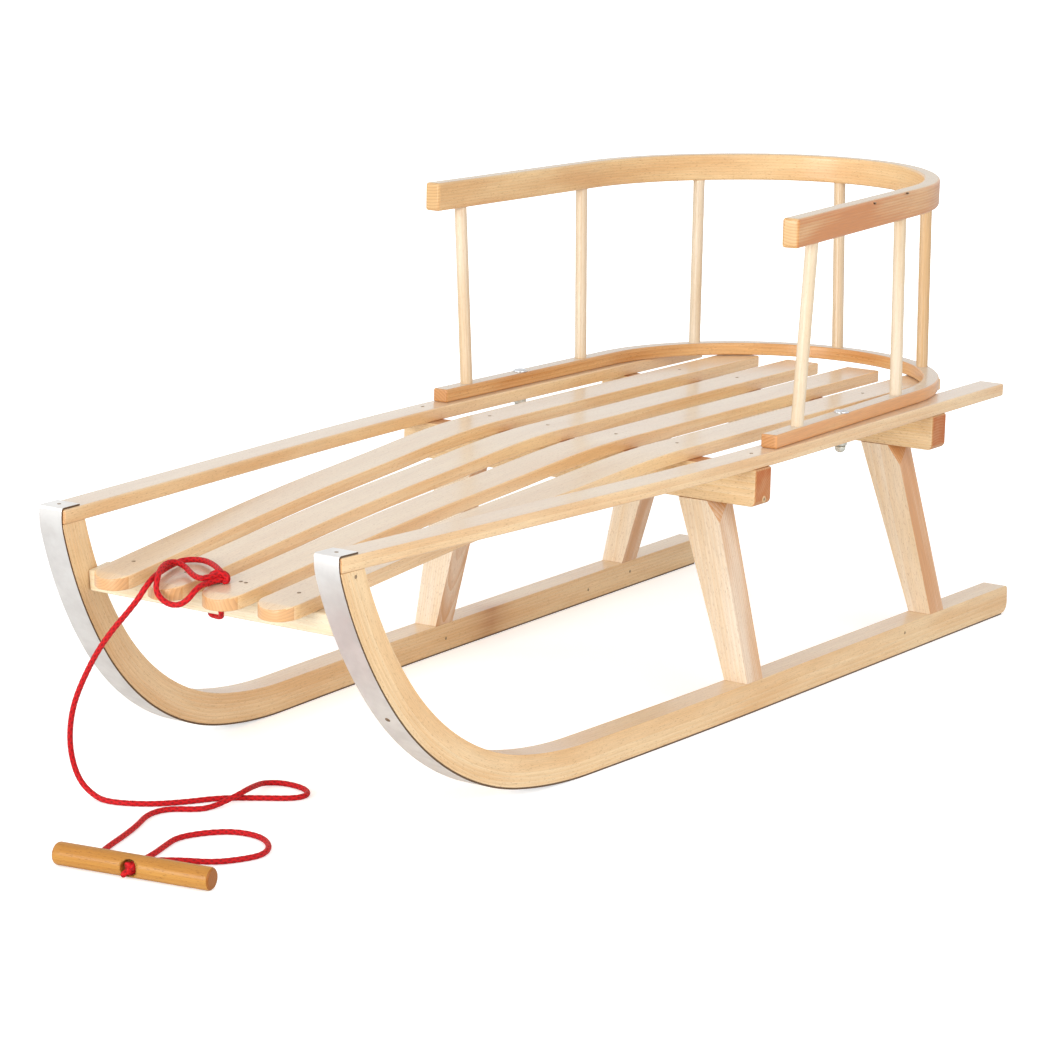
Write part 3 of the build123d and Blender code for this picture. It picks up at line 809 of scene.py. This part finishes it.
def makeSlat(number, line):
    half, thick, rear, tip = sled["slatWidth"] / 2, sled["slatThickness"], slat["rear"], slat["tip"]
    middle = gentleLine([(rear, line[0]), (slat["bendAt"], line[1]), (tip, line[2])], slat["bendRadius"])
    outline = roundCorner((rear, -half), slat["rearCorner"], (0, 1), (1, 0), 2)
    outline += roundCorner((tip, -half), slat["tipCorner"], (-1, 0), (0, 1), 8)
    outline += roundCorner((tip, half), slat["tipCorner"], (0, -1), (-1, 0), 8)
    outline += roundCorner((rear, half), slat["rearCorner"], (1, 0), (0, -1), 2)
    shape = cutBoard(outline, 0, thick, "above", 9)
    roundEdges(shape, slat["edge"])

    def place(s, u, v):
        reach, drop = slat["tipDrop"]
        ease = max(0, (s - tip + reach) / reach) ** 2
        return s, middle(s) + u, slatTop(s) - thick + v - drop * ease * v / thick
    shapePiece(f"slat{number}", shape, place, "beechPlaned", [f"slat_{number}"])


for number, line in enumerate(slat["lines"], 1):
    makeSlat(number, line)

crossbar = {"front": 488, "height": 17, "depth": 24, "clearance": 0.2, "edge": 1.8}


def makeCrossbar():
    depth, front = crossbar["depth"], crossbar["front"]
    underSlats = slatTop(front) - sled["slatThickness"]
    corner = Vector((front, 0, underSlats))
    back = Vector((-cos(slatTilt), 0, sin(slatTilt)))
    down = Vector((-sin(slatTilt), 0, -cos(slatTilt)))
    (x1, y1), (x2, y2) = runner["outer"][1:]
    spread = (y1 - y2) / (x2 - x1) * depth  # how much wider the bar is at its back
    reach = outerFace(front, underSlats - 8) - sled["runnerWidth"] - crossbar["clearance"]
    outline = [(-reach, 0), (reach, 0), (reach + spread, depth), (-reach - spread, depth)]
    shape = cutBoard(outline, 0, crossbar["height"], "above", 14)
    roundEdges(shape, crossbar["edge"])

    def place(s, u, v):
        point = corner + back * u + down * v
        return point.x, s, point.z
    shapePiece("frontCrossbar", shape, place, "beechSapwoodPlaned", ["front_crossbar"])


makeCrossbar()
print("slats and crossbar made")

# Backrest: two steam-bent bows and seven turned spindles
bows = {
    "low": {
        "back": (-501.8, -4.5), "backRadius": 159.8, "backAngle": 46, "cornerRadius": 193.3,
        "tapers": (2.2, 0.5), "height": 12, "edge": 1.8, "heartwoodAndShade": 0.8,
    },
    "top": {
        "back": (-521, -14.8), "backRadius": 135.1, "backAngle": 41.5, "cornerRadius": 246.7,
        "tapers": (6.4, 0.2), "height": 25, "edge": 2.6, "heartwoodAndShade": 0.95,
    },
    "front": -44,
    "width": 15,
    "topHeight": 420,
    "darkArm": (0.56, 0.1),  # share of the bow where the left arm's heartwood starts, and how softly
}
lowBowTop = sled["seatHeight"] + bows["low"]["height"]
topBowBottom = bows["topHeight"] - bows["top"]["height"]


def bowPath(bow, inset):
    # Plan of a bow's edge from its right front end round to its left
    halves = []
    for side in (-1, 1):
        taper = bow["tapers"][0 if side > 0 else 1]
        turn = 90 - bow["backAngle"] - taper
        start = (bow["back"][0] + inset, bow["back"][1])
        points = walk(start, side * pi / 2, [
            (bow["backRadius"] - inset, -side * bow["backAngle"]),
            (bow["cornerRadius"] - inset, -side * turn),
        ])
        last = points[-1]
        heading = side * radians(taper)
        arm = (bows["front"] - last[0]) / cos(heading)
        halves.append(points[:-1] + walk(last, heading, [(arm,)]))
    right, left = halves
    return Path(right[::-1] + left[1:])


def makeBow(name, bottom, material, node):
    bow = bows[name]
    height = bow["height"]
    outer = bowPath(bow, 0)
    outline = [(0, 0), (outer.length, 0), (outer.length, height), (0, height)]
    shape = cutBoard(outline, 0, bows["width"], "side", 8)
    for share in (0.2, 0.35, 0.5, 0.65, 0.8):
        slicePlane(shape, (0, 0, height * share), (0, 0, 1))
    roundEdges(shape, bow["edge"], 4)

    def place(s, u, v):
        s = min(max(s, 0), outer.length - 0.001)
        point, normal = outer.at(s), outer.normal(s)
        return point.x - normal.x * u, point.y - normal.y * u, bottom + v

    def darker(s, u, v):
        # Heartwood runs in streaks along the outside of the left arm and in patches round the bend
        if min(s, outer.length - s) < 0.1 or v > height - 0.1:
            return 0
        armStart, soft = bows["darkArm"]
        arm = max(0, min(1, (s / outer.length - armStart) / soft)) * (1 if u < 1 else 0.1)
        streak = 0.5 + 0.5 * noise.noise(Vector((s * 0.012, v * 0.35, 7 * bottom)))
        patch = max(0, noise.noise(Vector((s * 0.008, u * 0.05, v * 0.06 + 3 * bottom))))
        return min(1, bow["heartwoodAndShade"] * (arm * (0.7 + 0.6 * streak) + 0.5 * patch))
    shapePiece(name + "Bow", shape, place, material, [node], darker=darker)


makeBow("low", sled["seatHeight"], "beechHeartwoodBent", "backrest_bottom_bow")
makeBow("top", topBowBottom, "beechSteamBent", "backrest_top_bow")

spindle = {
    "diameter": 11,
    "feet": [0.038, 0.212, 0.36, 0.494, 0.612, 0.771, 0.952],  # shares of the low bow's length
    "heads": [0.04, 0.22, 0.361, 0.489, 0.624, 0.772, 0.957],
    # how much darker each spindle is painted, as shade on the far ones and on the near rear one
    "paintedShades": [0.4, 0.3, 0.2, 0.35, 0.8, 0.05, 0],
    "ripple": 0.06,  # mm that turning by hand leaves it uneven
    "tenon": (2, 1),  # mm into each bow, and how much thinner
}


def alongRod(foot, head):
    # Place for a rod that stands from one point to another
    along = (head - foot).normalized()
    across = along.cross(Vector((0, 1, 0))).normalized()
    up = along.cross(across)

    def place(s, u, v):
        return foot + along * s + across * u + up * v
    return place


def makeSpindle(number, start, end, tone):
    length, radius = (end - start).length, spindle["diameter"] / 2
    into, thinner = spindle["tenon"]
    profile = [(-into, radius - thinner)]
    profile += [(length * i / 14, radius + spindle["ripple"] * sin(i * 2.1 + number)) for i in range(15)]
    profile += [(length + into, radius - thinner)]
    # The whole spindle is painted darker by its share of shade
    shapePiece(
        f"spindle{number}", turnedRod(profile), alongRod(start, end), "beechTurned", [f"spindle_{number}"],
        heart=(90 * number, 22, 14 * number), darker=lambda s, u, v: tone,
    )


lowMiddle, topMiddle = bowPath(bows["low"], bows["width"] / 2), bowPath(bows["top"], bows["width"] / 2)
for number, (foot, head, tone) in enumerate(zip(spindle["feet"], spindle["heads"], spindle["paintedShades"]), 1):
    low, top = lowMiddle.at(foot * lowMiddle.length), topMiddle.at(head * topMiddle.length)
    makeSpindle(number, Vector((*low, lowBowTop)), Vector((*top, topBowBottom)), tone)
print("backrest made")

# Carriage bolts with cap nuts
bolts = {
    "places": {"left": (-178, 164.5), "right": (-170, -166.5)},
    "headRadius": 6.8,
    "headHeight": 2.8,
    "headRim": 0.4,
    "shank": 3,
    "shankLength": 30,
    "nutWidth": 10,
    "nutHex": 5.6,
    "nutHeight": 12,
    "domeRadius": 4.7,
    "domeHeight": 4.4,
}


def domeProfile(base, radius, height, steps):
    # Quarter of an ellipse from just above its rim to its crown
    turns = [pi / 2 * i / steps for i in range(1, steps + 1)]
    return [(base + height * sin(t), max(radius * cos(t), 0.05)) for t in turns]


def makeBolt(name, x, y):
    shank, radius, rim = bolts["shank"], bolts["headRadius"], bolts["headRim"]
    end = -bolts["shankLength"]
    profile = [(end, shank * 0.9), (end + 0.5, shank), (0, shank), (0, radius - 0.3), (0.25, radius)]
    profile += domeProfile(rim, radius, bolts["headHeight"] - rim, 8)
    place = alongRod(Vector((x, y, lowBowTop)), Vector((x, y, lowBowTop + 1)))
    shapePiece(name + "Bolt", turnedRod(profile, 36), place, "chromedSteelPolished", ["backrest_bolt_" + name])


def makeCapNut(name, x, y):
    half, hexHeight = bolts["nutWidth"] / 2 / cos(pi / 6), bolts["nutHex"]
    nut = bmesh.new()
    rings = []
    for s, reach in ((0.2, half - 0.5), (0.7, half), (hexHeight - 0.6, half), (hexHeight, half - 0.7)):
        turns = [pi / 3 * i for i in range(6)]
        rings.append([nut.verts.new((s, reach * cos(turn), reach * sin(turn))) for turn in turns])
    joinRings(nut, rings)
    roundEdges(nut, 0.3, 2)
    radius, rise = bolts["domeRadius"], bolts["domeHeight"]
    base = bolts["nutHeight"] - rise
    profile = [(hexHeight - 0.2, radius), (base, radius)] + domeProfile(base, radius, rise, 7)
    addShape(nut, turnedRod(profile, 32))
    place = alongRod(Vector((x, y, railBottom)), Vector((x, y, railBottom - 1)))
    shapePiece(name + "CapNut", nut, place, "zincPlatedBright", ["cap_nut_" + name])


for name, (x, y) in bolts["places"].items():
    makeBolt(name, x, y)
    makeCapNut(name, x, y)
print("bolts made")

cord = {
    "diameter": 4.5,
    "lying": 2.4,  # height of the cord's middle where it lies on the ground
    "relief": 0.2,  # mm that a yarn stands above the groove beside it
    "yarns": 4,  # yarns seen round the cord in each direction
    "pitch": 6.5,  # mm along the cord for one yarn to pass the next
    "sides": 24,
    "ring": 0.8,  # mm between the rings of points that the tube is skinned over
    "endShrink": (0.55, 0.86, 0.97),
    "length": 1119,
    "loopLength": 148,
    "knotFront": 33,  # mm in front of the slats' reference line
    "loopOut": 27,
    "knotSize": (30, 12, 8),
    "knotAcross": 10.5,
    "knotLift": 0.3,
    "route": [
        (496.5, 13, 188.4), (490.5, 11, 190.4), (485, 3.5, 191), (474.5, -10, 191), (463.5, -29.3, 190),
        (469.8, -42.2, 189.2), (485.8, -41.5, 187.8), (503, -37, 186.6), (518.6, -30.5, 186.8),
        (529.5, -30, 180.3), (533.5, -34.5, 169.9), (530, -71.5, 132), (523.6, -99, 92.3),
        (520.7, -110.4, 66.4), (512.4, -118.7, 37.4), (508.7, -113.3, 13.4), (507.5, -97.3), (510.6, -79),
        (497, -53), (475.5, -35.6), (450.2, -21.3), (431.5, 3.5), (417, 24.3), (402.7, 26.9), (390.8, 14),
        (389, -8), (400, -19, 3), (416, -14, 5.6), (432.6, -8.3, 7.9), (446, -5.6, 7.7), (459.1, -8.7, 4.6),
        (471, -11.5), (484.2, -14.9), (497.1, -35.2), (517.1, -37.9), (544.2, -25.5), (569.8, -16.9),
        (597.1, -8.9), (615.8, -1.5), (620.3, 17.7), (606.6, 31.1), (588, 27.8), (569.3, 22), (548.1, 16.1),
        (526.3, 25.1), (510.1, 41), (509.1, 64.6), (523.5, 83.3), (542.1, 91.7), (559.8, 86.3),
        (579.4, 74.6, 2.7), (596.1, 57.9, 5.4),
    ],
    "loop": [
        (508, 8, 188.8), (505.6, 0, 187.9), (499, -11, 187.9), (487.5, -26, 189.2), (488.2, -34.4, 192),
        (497.5, -36, 192.6), (511.3, -30.5, 191.2), (522.5, -24.2, 187), (526.5, -22.5, 177.5),
        (527, -12.5, 170.6), (527, -0.5, 170.6), (527, 8.5, 176.5), (522.5, 11.2, 182.8),
        (514.5, 10.4, 185.4), (508, 10, 185.4),
    ],
    # Round the crossbar and up through the gap between the middle slats
    "hitch": [
        (493, 9, 187), (491, 6, 184), (490.4, 5.6, 176), (489.4, 7.4, 167), (487.4, 8, 159.5),
        (484, 5.5, 155.2), (481.5, -1, 154), (479, -9.5, 154), (472, -13, 154.8), (464, -11, 158.5),
        (461, -8, 166), (462.5, -4.5, 175), (470, 0, 178.4), (480, 4, 178), (487, 5, 181),
    ],
    # Two strands side by side on the slat's edge, tied by a turn over their back end
    "knotStrands": [
        [(515, 10.2, 185), (508, 9.8, 185.2), (500.5, 10.6, 185.9), (494.5, 14, 186.8), (490.5, 15.5, 184.5),
         (489.5, 12, 183.4)],
        [(506.5, 4.5, 188), (505.5, 8, 189), (501, 9.6, 189.5), (495.5, 11.2, 189.8), (491, 13.4, 188),
         (490, 14, 185)],
        [(498.6, 5.4, 181), (498.4, 5, 186), (497, 7.4, 191), (494.6, 12.6, 191.8), (492.4, 17.4, 189),
         (493, 18.4, 185.6), (496, 16, 185)],
        [(494.4, 5.6, 181), (494, 5, 187), (492.6, 8, 190.6), (490, 12, 190.6), (488.6, 15.6, 187.6),
         (490.4, 15.6, 185)],
    ],
}
knotMiddle = cord["knotLift"] + cord["knotSize"][2] / 2
handle = {
    "centre": (633.5, 46.8),
    "turn": 9.3,
    "diameter": 17,
    "length": 128,
    "hole": 7,
    "seat": 13,
    "seatDepth": 8,
    "ends": [(0, 2.2), (0.4, 1.2), (1.2, 0.45), (2.4, 0)],  # mm along from the end, and how much thinner there
    "cordFrom": -14,  # mm along the hole
    "cordTo": 4,  # mm short of the hole's mouth
    "knotIn": 3.9,
    "knotRipple": 1.5,
    "knotSize": (1.25, 0.8, 0.9),
    "knotTurn": 0.4,
    "tail": [(3.5, -1, -1.5), (6.5, -2.5, -3.4), (8, -4, -5), (8.6, -5.4, -5.8)],
}


def onHandle(x, y, z):
    # Point given along the handle's hole, along the handle and up
    turn = radians(handle["turn"])
    cx, cy = handle["centre"]
    x, y = x * cos(turn) - y * sin(turn), x * sin(turn) + y * cos(turn)
    return Vector((cx + x, cy + y, handle["diameter"] / 2 + z))


def splinePoints(name, route):
    # A smooth curve with the route as its control points, read back as closely spaced points
    data = bpy.data.curves.new(name, "CURVE")
    data.dimensions = "3D"
    data.resolution_u = 24
    line = data.splines.new("NURBS")
    line.points.add(len(route) - 1)
    for point, spot in zip(line.points, route):
        point.co = (*(Vector(spot) * mm), 1)
    line.order_u = 3
    line.use_endpoint_u = True
    holder = bpy.data.objects.new(name, data)
    scene.collection.objects.link(holder)
    bpy.context.view_layer.update()
    mesh = bpy.data.meshes.new_from_object(holder)
    points = [v.co.copy() for v in mesh.vertices]
    bpy.data.objects.remove(holder)
    bpy.data.curves.remove(data)
    bpy.data.meshes.remove(mesh)
    return points


def evenly(points, step):
    # The same line with its points a step apart
    line = Path(points)
    count = max(2, int(line.length / step))
    return [line.at(line.length * k / count) for k in range(count + 1)]


def braidedTube(name, lines, nodes):
    # Braided cord along one or more lines, with its yarns standing proud
    shape = bmesh.new()
    weave = shape.verts.layers.float.new("weave")
    turns = [2 * pi * i / cord["sides"] for i in range(cord["sides"])]
    for line in lines:
        points = evenly(line, cord["ring"] * mm)
        side = (points[1] - points[0]).normalized().orthogonal().normalized()
        rings = []
        for k, point in enumerate(points):
            along = (points[min(k + 1, len(points) - 1)] - points[max(k - 1, 0)]).normalized()
            side = (side - along * side.dot(along)).normalized()
            up = along.cross(side)
            twist = 2 * pi * k * cord["ring"] / cord["pitch"]
            nearEnd = min(k, len(points) - 1 - k)
            shrink = cord["endShrink"][nearEnd] if nearEnd < len(cord["endShrink"]) else 1
            ring = []
            for turn in turns:
                one = sin(cord["yarns"] * turn + twist)
                two = sin(cord["yarns"] * turn - twist + pi / 2)
                height = 0.5 + 0.5 * max(one, two)
                reach = (cord["diameter"] / 2 - cord["relief"] * (1 - height)) * shrink * mm
                vert = shape.verts.new(point + (side * cos(turn) + up * sin(turn)) * reach)
                vert[weave] = height
                ring.append(vert)
            rings.append(ring)
        joinRings(shape, rings, smooth=True)
    bmesh.ops.recalc_face_normals(shape, faces=shape.faces[:])
    return finishPiece(addObject(name, shape), "polyesterBraided", nodes)


# Points without a height lie on the ground
route = [spot if len(spot) == 3 else (*spot, cord["lying"]) for spot in cord["route"]]
knotBack = onSlatTops(cord["knotFront"] - cord["knotSize"][0], cord["knotAcross"], knotMiddle)
knotSide = onSlatTops(cord["loopOut"], cord["knotAcross"] - cord["knotSize"][1] / 2, knotMiddle)
holeLine = [onHandle(handle["cordFrom"], 0, 0), onHandle(handle["diameter"] / 2 - handle["cordTo"], 0, 0)]
cordLine = splinePoints("cordLine", route + holeLine)
loopLine = splinePoints("loopLine", cord["loop"])
towCord = braidedTube("towCord", [cordLine], ["tow_cord"])
towLoop = braidedTube("towLoop", [loopLine], ["tow_loop"])
braidedTube("towHitch", [splinePoints("hitchLine", cord["hitch"])], ["tow_hitch"])
strands = [splinePoints("strand", strand) for strand in cord["knotStrands"]]
towKnot = braidedTube("towKnot", strands, ["tow_knot"])
print("tow cord made")


def makeHandle():
    # Turned dowel with a bore for the cord and a wider seat for its knot
    half, radius = handle["length"] / 2, handle["diameter"] / 2
    profile = [(s - half, radius - thinner) for s, thinner in handle["ends"]]
    straight = profile[-1][0]
    middle = [(straight - 2 * straight * i / 30, radius) for i in range(1, 30)]
    profile += middle + [(-s, r) for s, r in reversed(profile)]
    dowel = addObject("dowel", turnedRod(profile, 48))
    drills = []
    for start, width in ((-20, handle["hole"]), (radius - handle["seatDepth"], handle["seat"])):
        drill = turnedRod([(start, width / 2), (20, width / 2)], 32)
        drill.transform(Matrix.Rotation(pi / 2, 4, "Z"))
        drills.append(addObject("drill", drill))
        cut = dowel.modifiers.new("bore", "BOOLEAN")
        cut.operation = "DIFFERENCE"
        cut.object = drills[-1]
        cut.solver = "EXACT"
    bpy.context.view_layer.update()
    drilled = bpy.data.meshes.new_from_object(dowel.evaluated_get(bpy.context.evaluated_depsgraph_get()))
    shape = bmesh.new()
    shape.from_mesh(drilled)
    for spare in drills + [dowel]:
        bpy.data.objects.remove(spare)

    def place(s, u, v):
        return onHandle(u, -s, v)
    return shapePiece("towHandle", shape, place, "beechTurnedStained", ["tow_handle"], heart=(0, 16, 5))


def makeHandleKnot():
    # One tight overhand knot sitting in the hole, with a short tail
    size, across, high = handle["knotSize"]
    knot = []
    for i in range(49):
        t = 2 * pi * i / 48 + handle["knotTurn"]
        knot.append(onHandle(
            handle["diameter"] / 2 - handle["knotIn"] + handle["knotRipple"] * sin(3 * t),
            size * (sin(t) + 2 * sin(2 * t)) * across,
            size * (cos(t) - 2 * cos(2 * t)) * high,
        ) * mm)
    tail = splinePoints("tailLine", [onHandle(*spot) for spot in handle["tail"]])
    return braidedTube("handleKnot", [knot, tail], ["handle_knot"])


towHandle = makeHandle()
handleKnot = makeHandleKnot()
print("handle made")

[tuple(p) for p in cordLine]
[tuple(p) for p in loopLine]

# Nails: flat heads driven flush
nails = {
    "radius": 1.6,
    "proud": 0.25,
    "depth": 1.5,
    "onSlats": [
        (-19, -97.7), (-16, -35), (-19, 32.7), (-18, 94.2),
        (-343, -99), (-340, -34), (-344, 31.5), (-342, 98.5),
        (483, -80), (485, -27.5), (484, 23.4), (484.5, 28.6), (485, 78),
    ],
    "onRails": [(-16, 167.5), (-16, -167.5)],
    "onTabs": [(510, 130), (510, -130)],
    "inHorns": (503, 209, 1.5),  # x, height, radius of the head
    "inStrip": (92, 2.2),  # height on the left horn, radius
    "outsideRunners": (-293, 19, 1.4),
    "insideRunners": [(-279, 12, 1.4), (-357, 16, 1.4), (-33, 13, 1.4)],
    "onTopBow": [(-197, 178), (-287, 163)],
    "bowRadius": 1.3,
    "bolsterHole": (-19, 187, 1.3),
    "plugRadius": 3,
}


def nailHead(spot, facing, radius):
    facing = Vector(facing).normalized()
    spot = Vector(spot)
    deep, proud = nails["depth"], nails["proud"]
    profile = [(-deep, radius * 0.9), (0, radius), (proud * 0.6, radius * 0.96), (proud, radius * 0.6)]
    shape = turnedRod(profile, 20)
    side = facing.orthogonal().normalized()
    up = facing.cross(side)
    for vert in shape.verts:
        s, u, v = vert.co
        vert.co = spot + facing * s + side * u + up * v
    return shape


def sideNails(side):
    x, z, radius = nails["inHorns"]
    spots = [((x, side * outerFace(x, z), z), (0, side, 0), radius)]
    if side > 0:
        z, radius = nails["inStrip"]
        s = next(i for i in range(600, 2000) if sole.at(i).y > z)
        point, normal = sole.at(s), sole.normal(s)
        middle = outerFace(point.x, point.y) - sled["runnerWidth"] / 2
        spots.append(((point.x, middle, point.y), (-normal.x, 0, -normal.y), radius))
    x, z, radius = nails["outsideRunners"]
    spots.append(((x, side * outerFace(x, z), z), (0, side, 0), radius))
    for x, z, radius in nails["insideRunners"]:
        spots.append(((x, side * (outerFace(x, z) - sled["runnerWidth"]), z), (0, -side, 0), radius))
    return spots


def makeNails():
    up = (0, 0, 1)
    spots = []
    for x, y in nails["onSlats"]:
        slope = (slatTop(x + 2) - slatTop(x - 2)) / 4
        spots.append(((x, y, slatTop(x)), (-slope, 0, 1), nails["radius"]))
    spots += [((x, y, sled["seatHeight"]), up, nails["radius"]) for x, y in nails["onRails"]]
    tabTop = sled["seatHeight"] + runner["stripThickness"]
    spots += [((x, y, tabTop), up, nails["radius"]) for x, y in nails["onTabs"]]
    spots += sideNails(-1) + sideNails(1)
    flush = bows["topHeight"] - nails["proud"]
    spots += [((x, y, flush), up, nails["bowRadius"]) for x, y in nails["onTopBow"]]
    x, z, radius = nails["bolsterHole"]
    bolsterEnd = sled["frontBolster"][1]
    spots.append(((x, bolsterEnd + 0.1, z), (0, 1, 0), radius))
    together = bmesh.new()
    for spot in spots:
        addShape(together, nailHead(*spot))

    def place(*spot):
        return spot
    plug = nailHead((x, bolsterEnd - 0.05, z), (0, 1, 0), nails["plugRadius"])
    shapePiece("bolsterPlug", plug, place, "beechTurned")
    shapePiece("nailHeads", together, place, "nailSteelDrawn")
    print("nails driven:", len(spots))


makeNails()

# Floor, backdrop and light
studio = {
    "floor": "#F4F4F4",
    "floorReach": 12,
    "floorGlow": 0.45,
    "glowRange": (0.7, 2.2),  # metres from the sled over which the floor goes over to plain white
    "world": 0.62,
    "lamps": {  # place, aim, size and power
        "keyLamp": ((1.0, 2.5, 1.5), (0, 0, 0.15), (2.2, 2.2), 36),
        "fillLamp": ((1.6, -2.2, 1.6), (0, 0, 0.15), (2, 2), 14),
        "frontLamp": ((3.6, -0.2, 0.8), (0, 0, 0.2), (2.0, 1.4), 72),
    },
}
white = (1, 1, 1, 1)


def makeFloor():
    material, tree = newMaterial("studioPaper")
    paper = addNode(tree, "BsdfDiffuse", {"Color": colour(studio["floor"])})
    # The paper glows more the further it lies from the sled, where the lamps don't reach
    spot = addNode(tree, "TexCoord", output="Object")
    away = addNode(tree, "VectorMath", {0: spot}, operation="LENGTH", output="Value")
    near, far = studio["glowRange"]
    strength = addNode(
        tree, "MapRange", {"Value": away, "From Min": near, "From Max": far, "To Min": studio["floorGlow"]},
    )
    glow = addNode(tree, "Emission", {"Color": white, "Strength": strength})
    seen = addNode(tree, "AddShader", {0: paper, 1: glow})
    byCamera = addNode(tree, "LightPath")
    mix = addNode(tree, "MixShader", {0: byCamera, 1: paper, 2: seen})
    addNode(tree, "OutputMaterial", {"Surface": mix})
    mesh = bpy.data.meshes.new("floor")
    r = studio["floorReach"]
    mesh.from_pydata([(-r, -r, 0), (r, -r, 0), (r, r, 0), (-r, r, 0)], [], [(0, 1, 2, 3)])
    mesh.materials.append(material)
    floor = bpy.data.objects.new("floor", mesh)
    scene.collection.objects.link(floor)


def makeWorld():
    world = bpy.data.worlds.new("studio")
    world.use_nodes = True
    tree = world.node_tree
    tree.nodes.clear()
    # Plain white to the eye and in reflections, softer as light
    seen = addNode(tree, "LightPath", output="Is Camera Ray")
    for kind in ("Is Glossy Ray", "Is Transmission Ray"):
        ray = addNode(tree, "LightPath", output=kind)
        seen = addNode(tree, "Math", {0: seen, 1: ray}, operation="ADD", use_clamp=True)
    lit = addNode(tree, "Background", {"Color": white, "Strength": studio["world"]})
    backdrop = addNode(tree, "Background", {"Color": white, "Strength": 1.0})
    mix = addNode(tree, "MixShader", {0: seen, 1: lit, 2: backdrop})
    addNode(tree, "OutputWorld", {"Surface": mix})
    scene.world = world


def addLamp(name, place, aim, size, power):
    data = bpy.data.lights.new(name, "AREA")
    data.shape = "RECTANGLE"
    data.size, data.size_y = size
    data.energy = power
    lamp = bpy.data.objects.new(name, data)
    lamp.location = place
    lamp.rotation_euler = (Vector(aim) - Vector(place)).to_track_quat("-Z", "Y").to_euler()
    scene.collection.objects.link(lamp)


makeFloor()
makeWorld()
for name, values in studio["lamps"].items():
    addLamp(name, *values)
print("studio lit")
